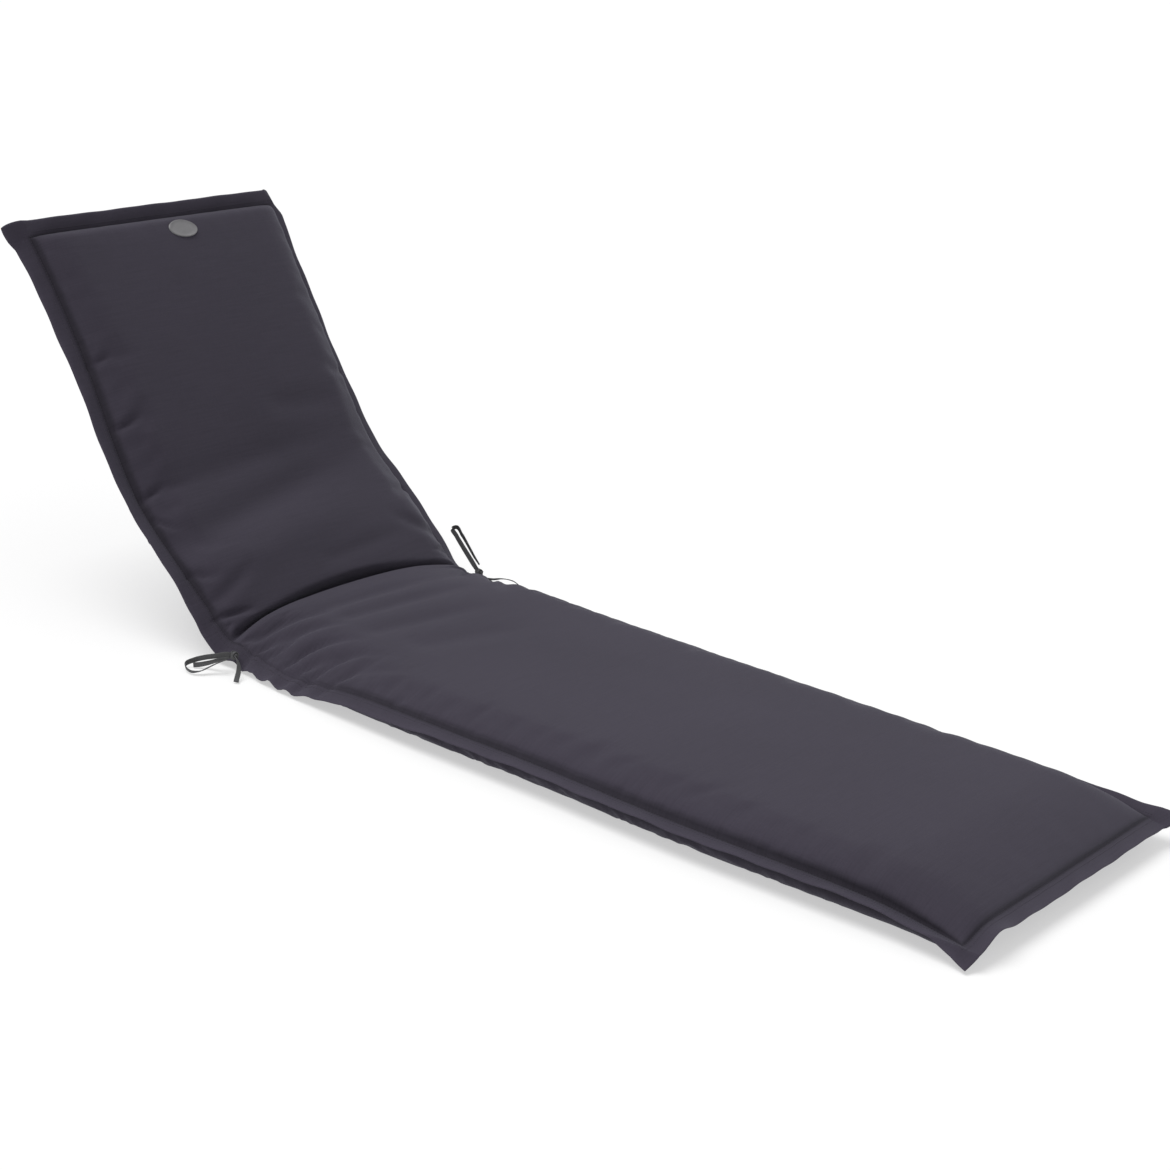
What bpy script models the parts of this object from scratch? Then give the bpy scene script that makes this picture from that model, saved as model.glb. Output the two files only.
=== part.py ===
"""Sun lounger cushion, standing as it lies on a raised lounger: leg section flat, back raised.

The cushion is one filled body with a stitched flange all round. It is drawn on a flat panel
first: `along` runs from the crease towards the foot (positive) or the head (negative) and
`across` from the near side (negative) to the far side. The panel is then bent over the seam
plane's own line. Metres and degrees, +Z up, the leg section's underside on z = 0.
"""
import bpy
import numpy as np

# Panel sizes
LEG_LENGTH = 1.210          # crease to foot seam
BACK_LENGTH = 0.662         # crease to head seam
HALF_WIDTH = 0.2725         # middle to side seam, before the sides draw in
FLANGE_WIDTH = 0.027
FLANGE_THICKNESS = 0.0032
SEAM_THICKNESS = 0.0022     # cloth pressed together in the stitched groove
SEAM_HEIGHT = 0.035         # seam plane above the leg section's underside
ORIGIN_ALONG = 0.300        # the part's origin lies under this place on the seat

# Bends of the seam plane: centre along the panel, radius, turn
BENDS = (
    (0.000, 0.042, 39.2),    # crease
    (-0.237, 0.350, 13.2),   # middle of the back
)
LINE_STEP = 0.001            # step of the bent line's running sum

# Rounded shoulders from the seam up to the full height
SIDE_SHOULDER = 0.058
HEAD_SHOULDER = 0.018
FOOT_SHOULDER = 0.135        # a long slope down to the foot seam
SHOULDER_POWER = 2.3
FOOT_POWER = 1.6
UNDERSIDE_SHOULDER = 0.045
UNDERSIDE_REACH = 1.12       # above one, so that the underside is flat before its shoulders
SIDE_BULGE = 0.005           # how far the puffed sides swell out towards the seam
BULGE_REACH = 0.045
BULGE_POWER = 0.6
CROWN_SHARE = 0.16           # of the height that the middle stands above the shoulders

# Height of the top above the seam plane, along the middle
TOP_HEIGHT = (               # along, height
    (-0.70, 0.025),
    (-0.56, 0.033),
    (-0.36, 0.035),
    (-0.22, 0.029),
    (-0.10, 0.032),
    (0.00, 0.028),
    (0.10, 0.031),
    (0.24, 0.026),
    (0.45, 0.028),
    (0.70, 0.035),
    (1.00, 0.040),
    (1.25, 0.039),
)

# Half widths of the panel at the side seams, drawn in between the corners
SIDES = (                    # along, near side, far side
    (-0.70, 0.266, 0.268),
    (-0.62, 0.258, 0.260),
    (-0.45, 0.257, 0.256),
    (-0.33, 0.267, 0.257),
    (-0.18, 0.269, 0.265),
    (-0.04, 0.262, 0.268),
    (0.04, 0.262, 0.267),
    (0.16, 0.270, 0.270),
    (0.34, 0.275, 0.272),
    (0.55, 0.272, 0.272),
    (0.80, 0.276, 0.270),
    (1.02, 0.268, 0.268),
    (1.14, 0.264, 0.268),
    (1.19, 0.268, 0.269),
    (1.25, 0.283, 0.271),
)

# Degrees that the flange is turned down about its seam
FLANGE_TURN = (              # along, near side, far side
    (-0.70, 30, 0),
    (-0.55, 20, 4),
    (-0.40, 2, 10),
    (-0.25, -8, 8),
    (-0.10, 2, 4),
    (-0.03, 32, 14),
    (0.03, 52, 30),
    (0.10, 28, 34),
    (0.19, 24, 20),
    (0.29, 22, 10),
    (0.42, 8, 4),
    (0.60, 2, 0),
    (0.90, 0, -8),
    (1.12, -8, -22),
    (1.25, -12, -24),
)
HEAD_TURN = -12.0
FOOT_TURN = 9.0
FLANGE_WAVES = (             # height, length of one wave, shift
    (0.0008, 0.163, 0.4),
    (0.0006, 0.071, 2.1),
)
GATHER_HEIGHT = 0.0035       # waves that the near tie draws into the flange
GATHER_LENGTH = 0.038
GATHER_MIDDLE = 0.085
GATHER_REACH = 0.090
GATHER_SEAM = 0.45           # share of their height left at the seam
GATHER_INSIDE = 0.045        # they fade out this far inside it
FOOT_LIFT = 0.010            # how far the foot's flange rises beside its near corner
FOOT_LIFT_PLACE = 0.048
FOOT_LIFT_REACH = 0.034

# Folded corners of the flange: end, side, share of the way along in the fold's place, where the
# fold starts, then the tip's shift outwards along, outwards across, and up, and how far it is
# drawn in to round it
CORNERS = (
    (1, -1, 0.443, 0.350, -0.006, -0.008, -0.019, 0.000),
    (1, 1, 0.700, 0.500, 0.014, 0.012, -0.001, 0.000),
    (-1, -1, 0.900, 0.600, 0.003, 0.020, 0.002, 0.006),
    (-1, 1, 0.700, 0.500, 0.003, -0.021, -0.003, 0.004),
)
CORNER_CURVE = 0.35

# Places where the seam itself hangs: along, side, depth, reach along, reach across
SAGS = (
    (LEG_LENGTH, -1, 0.013, 0.110, 0.040),
    (0.130, -1, 0.016, 0.090, 0.050),
)

# Crease valley across the panel
CREASE_FLOOR = 0.15          # share of the height left at the bottom of the valley
CREASE_SEAT_WIDTH = 0.012
CREASE_BACK_WIDTH = 0.005
CREASE_POWER = 1.5
CREASE_ENDS = 0.014          # the valley's two ends lie this far along, its middle nearer the head
CREASE_BOW = 0.034

# Tops drawn down by the ties: along, side, share of the height lost, reach
PINCHES = (
    (0.045, -1, 0.40, 0.075),
    (0.060, 1, 0.60, 0.105),
)

# Soft ridges and troughs: start along and across, end along and across, width, height
FOLDS = (
    (-0.150, -0.250, -0.225, 0.245, 0.026, -0.0085),   # trough over the lower back
    (-0.245, -0.200, -0.270, 0.210, 0.022, -0.0030),
    (-0.100, -0.160, -0.150, 0.200, 0.030, 0.0040),
    (-0.330, 0.060, -0.315, 0.250, 0.018, -0.0025),
    (-0.060, 0.000, -0.075, 0.230, 0.012, -0.0022),
    (0.030, -0.265, 0.080, -0.090, 0.010, -0.0080),    # gathers from the near end of the crease
    (0.050, -0.270, 0.130, -0.120, 0.010, -0.0085),
    (0.085, -0.272, 0.185, -0.150, 0.010, -0.0080),
    (0.125, -0.274, 0.245, -0.170, 0.011, -0.0065),
    (0.180, -0.275, 0.300, -0.200, 0.012, -0.0045),
    (0.060, -0.120, 0.075, 0.180, 0.014, -0.0050),     # long folds across the seat
    (0.105, -0.110, 0.130, 0.200, 0.016, -0.0050),
    (0.165, -0.120, 0.200, 0.150, 0.018, -0.0040),
    (0.240, -0.100, 0.290, 0.120, 0.024, -0.0028),
    (0.045, 0.265, 0.090, 0.120, 0.010, -0.0045),      # gathers from the far end
    (0.110, 0.268, 0.170, 0.160, 0.012, -0.0040),
    (-0.050, 0.265, -0.110, 0.150, 0.012, -0.0040),
    (-0.050, -0.258, -0.095, -0.150, 0.011, -0.0045),
    (0.620, -0.270, 0.640, -0.190, 0.016, -0.0025),
    (0.900, 0.265, 0.880, 0.190, 0.018, -0.0025),
    (1.060, -0.262, 1.040, -0.190, 0.018, -0.0025),
)

FOLD_START = 5               # a fold fades in over one part in this many of its length
FOLD_END = 1.6

# Grid steps from the seam inwards, then even steps, and shares of the flange outwards
SIDE_STEPS = (0.0, 0.003, 0.009, 0.020, 0.038, 0.062, 0.098, 0.142, 0.200, HALF_WIDTH)
END_STEPS = (0.0, 0.004, 0.012, 0.026, 0.046, 0.072)
FLANGE_STEPS = (0.45, 0.90, 1.0)
FLANGE_EDGE = FLANGE_STEPS[-2]
CREASE_STEPS = (0.0, 0.006, 0.013, 0.022, 0.034, 0.048, 0.064, 0.082, 0.102, 0.124)
SEAT_STEP = 0.018            # rows over the seat's gathers
SEAT_END = 0.305
LONG_STEP = 0.036

# Ties: one flat tape a side
TAPE_WIDTH = 0.0075
TAPE_THICKNESS = 0.0014
TAPE_STEP = 0.005
TAPE_POINTS = 6              # at the least
KNOT_SIZE = (0.0145, 0.0110, 0.0125)
KNOT_TURNS = 14
KNOT_RINGS = 9
KNOT_WAIST = 0.12
KNOT_WAIST_POWER = 6
NEAR_KNOT = (-0.2665, -0.2830, 0.0240)
FAR_KNOT = (-0.2680, 0.2985, 0.0286)

# Tape routes: x, y, z and lean, where 0 stands on its edge and 90 lies flat
TIE_ROUTES = {
    "tie_near_loop": (
        (-0.2710, -0.2915, 0.0262, 8),
        (-0.2828, -0.3005, 0.0225, 6),
        (-0.2982, -0.3087, 0.0170, 4),
        (-0.3115, -0.3150, 0.0105, 4),
        (-0.3170, -0.3255, 0.0062, 8),
        (-0.3060, -0.3375, 0.0048, 24),
        (-0.2920, -0.3400, 0.0044, 42),
        (-0.2845, -0.3310, 0.0058, 60),
        (-0.2805, -0.3205, 0.0098, 66),
        (-0.2745, -0.3085, 0.0155, 66),
        (-0.2675, -0.2975, 0.0205, 60),
    ),
    "tie_near_end_inner": (
        (-0.2725, -0.2895, 0.0205, 70),
        (-0.2829, -0.3000, 0.0150, 62),
        (-0.2953, -0.3077, 0.0085, 48),
        (-0.3035, -0.3145, 0.0055, 40),
        (-0.3085, -0.3205, 0.0048, 36),
    ),
    "tie_near_end_outer": (
        (-0.2540, -0.2895, 0.0225, 40),
        (-0.2455, -0.2955, 0.0178, 55),
        (-0.2403, -0.3010, 0.0120, 65),
        (-0.2360, -0.3080, 0.0062, 75),
        (-0.2307, -0.3157, 0.0030, 84),
    ),
    "tie_far_loop_up": (
        (-0.2745, 0.2940, 0.0385, 42),
        (-0.2845, 0.2925, 0.0490, 30),
        (-0.2996, 0.2910, 0.0640, 20),
        (-0.3150, 0.2905, 0.0790, 16),
        (-0.3245, 0.2915, 0.0880, 16),
        (-0.3205, 0.2955, 0.0905, 16),
        (-0.3090, 0.2975, 0.0805, 18),
        (-0.2930, 0.2985, 0.0640, 24),
        (-0.2790, 0.2995, 0.0490, 32),
        (-0.2700, 0.3000, 0.0410, 42),
    ),
    "tie_far_loop_side": (
        (-0.2570, 0.3010, 0.0225, 45),
        (-0.2420, 0.3030, 0.0240, 55),
        (-0.2300, 0.3055, 0.0280, 66),
        (-0.2185, 0.3085, 0.0298, 72),
        (-0.2070, 0.3120, 0.0285, 72),
        (-0.1985, 0.3165, 0.0220, 66),
        (-0.1985, 0.3225, 0.0085, 52),
        (-0.2080, 0.3275, 0.0050, 30),
        (-0.2250, 0.3260, 0.0046, 18),
        (-0.2420, 0.3190, 0.0060, 18),
        (-0.2570, 0.3095, 0.0160, 26),
    ),
    "tie_far_end": (
        (-0.2540, 0.2960, 0.0170, 80),
        (-0.2400, 0.3010, 0.0162, 84),
        (-0.2270, 0.3040, 0.0150, 86),
        (-0.2150, 0.3062, 0.0142, 86),
    ),
}

# Badge: a bare oval plate on the head end's shoulder
BADGE_ALONG = -0.634
BADGE_ACROSS = 0.020
BADGE_SIZE = (0.058, 0.030, 0.0022)
BADGE_TURN = 5.0
BADGE_GAP = 0.0007
BADGE_SIDES = 40
BADGE_RINGS = (0.0, 0.5, 0.86, 0.96, 1.0)   # shares of the oval's radius
BADGE_RIM_DROP = 0.0006                     # how far the rounded rim lies below the face

# Colours and roughness
CLOTH_COLOUR = (0.060, 0.055, 0.070, 1.0)
TAPE_COLOUR = (0.075, 0.072, 0.078, 1.0)
BADGE_COLOUR = (0.230, 0.235, 0.250, 1.0)
CLOTH_ROUGHNESS = 0.72
TAPE_ROUGHNESS = 0.80
BADGE_ROUGHNESS = 0.45
SHARP_ANGLE = 50             # degrees


def clear_scene():
    for item in list(bpy.data.objects):
        bpy.data.objects.remove(item, do_unlink=True)


def material(name, colour, roughness):
    made = bpy.data.materials.new(name)
    made.use_nodes = True
    shader = made.node_tree.nodes["Principled BSDF"]
    shader.inputs["Base Color"].default_value = colour
    shader.inputs["Roughness"].default_value = roughness
    return made


def add_solid(name, points, faces, surface):
    mesh = bpy.data.meshes.new(name)
    mesh.from_pydata([tuple(map(float, point)) for point in points], [], faces)
    mesh.validate()
    mesh.materials.append(surface)
    mesh.shade_smooth()
    mesh.set_sharp_from_angle(angle=np.radians(SHARP_ANGLE))
    solid = bpy.data.objects.new(name, mesh)
    bpy.context.collection.objects.link(solid)
    return solid


def blend_table(table, column, at):
    """A smooth curve through one column of a table whose first column is the place along it."""
    knots = np.array([row[0] for row in table])
    values = np.array([row[column] for row in table])
    slopes = np.gradient(values, knots)
    at = np.clip(at, knots[0], knots[-1])
    index = np.clip(np.searchsorted(knots, at) - 1, 0, len(knots) - 2)
    span = knots[index + 1] - knots[index]
    t = (at - knots[index]) / span
    start = (1 + 2 * t) * (1 - t) ** 2 * values[index] + t * (1 - t) ** 2 * span * slopes[index]
    end = t * t * (3 - 2 * t) * values[index + 1] - t * t * (1 - t) * span * slopes[index + 1]
    return start + end


def bent_line(along):
    """x, z and slope of the seam plane at each distance along the panel.

    The slope is the sum of the bends, each a ramp over its own arc, and the place is the
    running sum of the slope's cosine and sine from the foot towards the head.
    """
    reach = np.arange(LEG_LENGTH + 0.1, -BACK_LENGTH - 0.1, -LINE_STEP)
    slope = np.zeros_like(reach)
    for centre, radius, turn in BENDS:
        arc = radius * np.radians(turn)
        slope += np.radians(turn) * np.clip((centre + arc / 2 - reach) / arc, 0, 1)
    x = reach[0] - ORIGIN_ALONG - np.concatenate(([0], np.cumsum(np.cos(slope[:-1])))) * LINE_STEP
    z = SEAM_HEIGHT + np.concatenate(([0], np.cumsum(np.sin(slope[:-1])))) * LINE_STEP
    order = -reach
    return (np.interp(-along, order, x), np.interp(-along, order, z),
            np.interp(-along, order, slope))


def place(along, across, height):
    """World points of panel points: out from the bent line along its normal by the height."""
    x, z, slope = bent_line(along)
    return np.stack([x + np.sin(slope) * height, across, z + np.cos(slope) * height], axis=-1)


def shoulder(distance, reach, power=SHOULDER_POWER):
    """Rise from 0 at the seam to 1 at the shoulder's reach, a flattened quarter of an oval."""
    t = 1 - np.clip(distance / reach, 0, 1)
    return (1 - t ** power) ** (1 / power)


def fold_height(along, across):
    """Sum of the soft ridges and troughs, each a bell across its line that fades at its ends."""
    total = np.zeros_like(along)
    for along_0, across_0, along_1, across_1, width, height in FOLDS:
        step = np.array([along_1 - along_0, across_1 - across_0])
        length = np.hypot(*step)
        run = ((along - along_0) * step[0] + (across - across_0) * step[1]) / length ** 2
        aside = ((along - along_0) * step[1] - (across - across_0) * step[0]) / length
        fade = np.clip(run * FOLD_START + 1, 0, 1) * np.clip((1 - run) * FOLD_END, 0, 1)
        total += height * np.exp(-(aside / width) ** 2) * fade * fade * (3 - 2 * fade)
    return total


def crease_share(along, across):
    """Share of the height that the crease leaves: a valley bowed towards the head."""
    middle = CREASE_ENDS - CREASE_BOW * (1 - (across / HALF_WIDTH) ** 2)
    width = np.where(along > middle, CREASE_SEAT_WIDTH, CREASE_BACK_WIDTH)
    return 1 - (1 - CREASE_FLOOR) * np.exp(-np.abs((along - middle) / width) ** CREASE_POWER)


def pinch_share(along, across):
    """Share of the height that the ties leave: a dip round each tie, fading as a bell."""
    share = np.ones_like(along)
    for tie_along, side, lost, reach in PINCHES:
        away = np.hypot(along - tie_along, across - side * HALF_WIDTH) / reach
        share = share * (1 - lost * np.exp(-away ** 2))
    return share


def puff(along, across, near, far):
    """Share of the filling's full height, from the distances to the four seams."""
    side = np.minimum(across + near, far - across)
    share = shoulder(side, SIDE_SHOULDER) * shoulder(along + BACK_LENGTH, HEAD_SHOULDER)
    return share * shoulder(LEG_LENGTH - along, FOOT_SHOULDER, FOOT_POWER)


def underside_share(along, across, near, far):
    """Share of the seam's height that the underside bulges down, flat past its shoulders."""
    side = np.minimum(across + near, far - across)
    end = np.minimum(LEG_LENGTH - along, along + BACK_LENGTH)
    share = shoulder(side, UNDERSIDE_SHOULDER) * shoulder(end, UNDERSIDE_SHOULDER)
    return np.clip(share * UNDERSIDE_REACH, 0, 1)


def side_swell(along, across, near, far):
    """Swell of the puffed sides towards the seam: a sine of the distance from it."""
    side = np.clip(np.minimum(across + near, far - across) / BULGE_REACH, 0, 1)
    end = np.clip(np.minimum(LEG_LENGTH - along, along + BACK_LENGTH) / BULGE_REACH, 0, 1)
    return SIDE_BULGE * np.sin(np.pi * side ** BULGE_POWER) * np.sign(across) * end


def gather_share(side, inside):
    """Share of the gathers: full at the flange's edge, less at the seam, gone inside it."""
    fade = GATHER_SEAM * np.clip(1 - inside / GATHER_INSIDE, 0, 1)
    return np.where(side > 0, GATHER_SEAM + (1 - GATHER_SEAM) * side / FLANGE_WIDTH, fade)


def turn_flange(along, across, near, far):
    """How far the flange's turning draws it inwards along and across, and how far it drops."""
    side = np.maximum(np.maximum(-near - across, across - far), 0)
    head = np.maximum(-BACK_LENGTH - along, 0)
    foot = np.maximum(along - LEG_LENGTH, 0)
    column = np.where(across < 0, blend_table(FLANGE_TURN, 1, along),
                      blend_table(FLANGE_TURN, 2, along))
    turn = np.radians(column)
    head_turn, foot_turn = np.radians((HEAD_TURN, FOOT_TURN))
    in_across = -np.sign(across) * side * (1 - np.cos(turn))
    in_along = head * (1 - np.cos(head_turn)) - foot * (1 - np.cos(foot_turn))
    drop = side * np.sin(turn) + head * np.sin(head_turn) + foot * np.sin(foot_turn)
    for height, length, shift in FLANGE_WAVES:
        wave = np.sin(2 * np.pi * (along + across) / length + shift)
        drop += height * wave * np.hypot(side, head + foot) / FLANGE_WIDTH
    gather = np.exp(-((along - GATHER_MIDDLE) / GATHER_REACH) ** 2) * (across < 0)
    share = gather_share(side, near + across)
    wave = np.sin(2 * np.pi * along / GATHER_LENGTH) * share
    away = (near + across - FOOT_LIFT_PLACE) / FOOT_LIFT_REACH
    rise = FOOT_LIFT * np.exp(-away ** 2) * foot / FLANGE_WIDTH
    return in_along, in_across, drop + GATHER_HEIGHT * gather * wave - rise


def fold_corners(along, across, near, far):
    """Shift of the flange's corners: nothing up to each fold line, then growing to the tip."""
    out_along = np.zeros_like(along)
    out_across = np.zeros_like(along)
    lift = np.zeros_like(along)
    for end, side, lean, start, reach_along, reach_across, raised, rounded in CORNERS:
        past_end = (end * along - (LEG_LENGTH if end > 0 else BACK_LENGTH)) / FLANGE_WIDTH
        past_side = (side * across - (far if side > 0 else near)) / FLANGE_WIDTH
        past = np.clip((lean * past_end + past_side - start) / (lean + 1 - start), 0, 1)
        share = past * (1 + CORNER_CURVE - CORNER_CURVE * past) * np.clip(past_end + 2, 0, 1)
        tip = (np.clip(past_end, 0, 1) * np.clip(past_side, 0, 1)) ** 2
        out_along += end * (reach_along * share - rounded * tip)
        out_across += side * (reach_across * share - rounded * tip)
        lift += raised * share
    for place_along, side, depth, reach_along, reach_across in SAGS:
        inside = np.clip((far - across) if side > 0 else (near + across), 0, None)
        away = np.hypot((along - place_along) / reach_along, inside / reach_across)
        lift -= depth * np.exp(-away ** 2)
    return out_along, out_across, lift


def grid_lines():
    """Rows along the panel and columns across it, as a place plus a share of flange outwards."""
    inner = list(CREASE_STEPS)
    seat = np.arange(inner[-1], SEAT_END, SEAT_STEP)[1:]
    legs = np.arange(seat[-1], LEG_LENGTH - END_STEPS[-1], LONG_STEP)[1:-1]
    backs = np.arange(inner[-1], BACK_LENGTH - END_STEPS[-1], LONG_STEP)[1:-1]
    flange = [share * FLANGE_WIDTH for share in FLANGE_STEPS]
    foot = [LEG_LENGTH - step for step in END_STEPS] + [LEG_LENGTH + step for step in flange]
    head = [step - BACK_LENGTH for step in END_STEPS] + [-BACK_LENGTH - step for step in flange]
    rows = sorted(set(inner + [-step for step in inner] + list(seat) + list(legs) + list(-backs)
                      + foot + head))
    shares = [1 - step / HALF_WIDTH for step in SIDE_STEPS]
    half = sorted(shares) + [1 + step / HALF_WIDTH for step in flange]
    columns = [-share for share in reversed(half[1:])] + half
    return np.array(rows), np.array(columns)


def cushion_sheets():
    """World points of the top and the underside over the whole panel, flange included."""
    rows, columns = grid_lines()
    along, share = np.meshgrid(rows, columns, indexing="ij")
    near = blend_table(SIDES, 1, along)
    far = blend_table(SIDES, 2, along)
    inside = np.clip(share, -1, 1)
    beyond = (share - inside) * HALF_WIDTH
    across = np.where(share < 0, inside * near, inside * far) + beyond

    fill = puff(along, across, near, far)
    crown = 1 - CROWN_SHARE * (across / HALF_WIDTH) ** 2
    full = blend_table(TOP_HEIGHT, 1, along) * crown * crease_share(along, across)
    full = full * pinch_share(along, across) + fold_height(along, across)
    outside = np.maximum(np.abs(beyond), np.maximum(along - LEG_LENGTH, -BACK_LENGTH - along))
    outside = np.clip(outside / FLANGE_WIDTH, 0, 1)
    edge = np.clip((1 - outside) / (1 - FLANGE_EDGE), 0, 1)
    cloth = np.where(outside > 0, FLANGE_THICKNESS, SEAM_THICKNESS) / 2 * np.sqrt(edge)
    top = cloth + fill * full

    in_along, in_across, drop = turn_flange(along, across, near, far)
    out_along, out_across, lift = fold_corners(along, across, near, far)
    middle = lift - drop
    share = underside_share(along, across, near, far)
    under = cloth + (SEAM_HEIGHT + middle - cloth) * share
    swell = side_swell(along, across, near, far)
    along = along + in_along + out_along
    across = across + in_across + out_across
    return (place(along, across + swell, middle + top),
            place(along, across + swell / 2, middle - under))


def make_cushion(surface):
    top, under = cushion_sheets()
    row_count, column_count = top.shape[:2]
    points = np.concatenate([top.reshape(-1, 3), under.reshape(-1, 3)])
    under_start = row_count * column_count
    last_row = row_count - 1
    last_column = column_count - 1

    def index(sheet, row, column):
        on_edge = row in (0, last_row) or column in (0, last_column)
        start = under_start if sheet == "under" and not on_edge else 0
        return start + row * column_count + column

    faces = []
    for row in range(last_row):
        for column in range(last_column):
            ring = ((row, column), (row, column + 1), (row + 1, column + 1), (row + 1, column))
            faces.append([index("top", *corner) for corner in reversed(ring)])
            faces.append([index("under", *corner) for corner in ring])
    used = np.unique(np.array(faces))
    renumbered = np.zeros(len(points), dtype=int)
    renumbered[used] = np.arange(len(used))
    return add_solid("cushion", points[used], renumbered[np.array(faces)].tolist(), surface)


def smooth_route(route):
    """Points every tape step on a curve through the route's own points, with their lean."""
    knots = np.array(route, dtype=float)
    gaps = np.linalg.norm(np.diff(knots[:, :3], axis=0), axis=1)
    places = np.concatenate(([0], np.cumsum(gaps)))
    count = max(TAPE_POINTS, int(round(places[-1] / TAPE_STEP)) + 1)
    at = np.linspace(0, places[-1], count)
    table = np.column_stack([places, knots])
    return np.column_stack([blend_table(table, column, at) for column in range(1, 5)])


def make_tape(name, surface):
    """A flat band along its route: the lean turns its width from upright towards level."""
    route = smooth_route(TIE_ROUTES[name])
    points = route[:, :3]
    lean = np.radians(route[:, 3])[:, None]
    ahead = np.gradient(points, axis=0)
    ahead /= np.linalg.norm(ahead, axis=1)[:, None]
    level = np.cross(ahead, (0, 0, 1))
    level /= np.linalg.norm(level, axis=1)[:, None]
    upright = np.cross(level, ahead)
    wide = np.cos(lean) * upright + np.sin(lean) * level
    thick = np.cross(ahead, wide)
    corners = ((-1, -1), (-1, 1), (1, 1), (1, -1))
    rings = [points + wide * TAPE_WIDTH / 2 * a + thick * TAPE_THICKNESS / 2 * b
             for a, b in corners]
    solid_points = np.stack(rings, axis=1).reshape(-1, 3)
    faces = [[0, 1, 2, 3]]
    for step in range(len(points) - 1):
        start = step * 4
        for side in range(4):
            other = (side + 1) % 4
            faces.append([start + side, start + 4 + side, start + 4 + other, start + other])
    last = (len(points) - 1) * 4
    faces.append([last + 3, last + 2, last + 1, last])
    return add_solid(name, solid_points, faces, surface)


def make_knot(name, centre, surface):
    """A small lump with a waist, as tape drawn round tape: an oval pinched at its middle."""
    points = [(0, 0, KNOT_SIZE[2] / 2)]
    for ring in range(1, KNOT_RINGS):
        polar = np.pi * ring / KNOT_RINGS
        waist = 1 - KNOT_WAIST * np.sin(polar) ** KNOT_WAIST_POWER
        for turn in range(KNOT_TURNS):
            angle = 2 * np.pi * turn / KNOT_TURNS
            points.append((KNOT_SIZE[0] / 2 * np.sin(polar) * np.cos(angle) * waist,
                           KNOT_SIZE[1] / 2 * np.sin(polar) * np.sin(angle) * waist,
                           KNOT_SIZE[2] / 2 * np.cos(polar)))
    points.append((0, 0, -KNOT_SIZE[2] / 2))
    faces = []
    for turn in range(KNOT_TURNS):
        other = (turn + 1) % KNOT_TURNS
        faces.append([0, 1 + turn, 1 + other])
        base = 1 + (KNOT_RINGS - 2) * KNOT_TURNS
        faces.append([len(points) - 1, base + other, base + turn])
        for ring in range(KNOT_RINGS - 2):
            start = 1 + ring * KNOT_TURNS
            faces.append([start + turn, start + KNOT_TURNS + turn,
                          start + KNOT_TURNS + other, start + other])
    return add_solid(name, np.array(points) + np.array(centre), faces, surface)


def top_height(along, across):
    """Height of the cushion's top above the seam plane at panel points inside the seams."""
    near = blend_table(SIDES, 1, along)
    far = blend_table(SIDES, 2, along)
    crown = 1 - CROWN_SHARE * (across / HALF_WIDTH) ** 2
    full = blend_table(TOP_HEIGHT, 1, along) * crown * crease_share(along, across)
    full = full * pinch_share(along, across) + fold_height(along, across)
    return SEAM_THICKNESS / 2 + puff(along, across, near, far) * full


def make_badge(surface):
    """An oval plate on the cushion's top: flat face, rounded rim, back following the cloth."""
    turn = np.radians(BADGE_TURN)
    angles = np.arange(BADGE_SIDES) * 2 * np.pi / BADGE_SIDES
    shares = np.array(BADGE_RINGS[1:])[:, None]
    oval_across = shares * BADGE_SIZE[0] / 2 * np.cos(angles)
    oval_along = shares * BADGE_SIZE[1] / 2 * np.sin(angles)
    across = np.append((oval_across * np.cos(turn) - oval_along * np.sin(turn)).ravel(), 0)
    along = np.append((oval_across * np.sin(turn) + oval_along * np.cos(turn)).ravel(), 0)
    along += BADGE_ALONG
    across += BADGE_ACROSS
    height = top_height(along, across)
    rim = np.zeros(len(along))
    rim[(len(shares) - 1) * BADGE_SIDES:-1] = BADGE_RIM_DROP
    back = place(along, across, height + BADGE_GAP)
    face = place(along, across, height + BADGE_GAP + BADGE_SIZE[2] - rim)
    points = np.concatenate([back, face])
    middle = len(along) - 1
    face_start = len(along)
    outer = (len(shares) - 1) * BADGE_SIDES
    faces = []
    for side in range(BADGE_SIDES):
        other = (side + 1) % BADGE_SIDES
        faces.append([middle, side, other])
        faces.append([face_start + middle, face_start + other, face_start + side])
        for ring in range(len(shares) - 1):
            start = ring * BADGE_SIDES
            after = start + BADGE_SIDES
            faces.append([start + side, after + side, after + other, start + other])
            faces.append([face_start + start + other, face_start + after + other,
                          face_start + after + side, face_start + start + side])
        faces.append([outer + side, face_start + outer + side, face_start + outer + other,
                      outer + other])
    return add_solid("badge", points, faces, surface)


def main():
    clear_scene()
    cloth = material("cloth", CLOTH_COLOUR, CLOTH_ROUGHNESS)
    tape = material("tape", TAPE_COLOUR, TAPE_ROUGHNESS)
    plate = material("badge_plate", BADGE_COLOUR, BADGE_ROUGHNESS)
    make_cushion(cloth)
    for name in TIE_ROUTES:
        make_tape(name, tape)
    make_knot("tie_near_knot", NEAR_KNOT, tape)
    make_knot("tie_far_knot", FAR_KNOT, tape)
    make_badge(plate)


main()
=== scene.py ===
"""Looks of a padded sun lounger cushion: filled cloth, stitched flange, tied tapes, bare badge."""
import bpy
import numpy as np
from mathutils import Matrix, Vector


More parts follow.
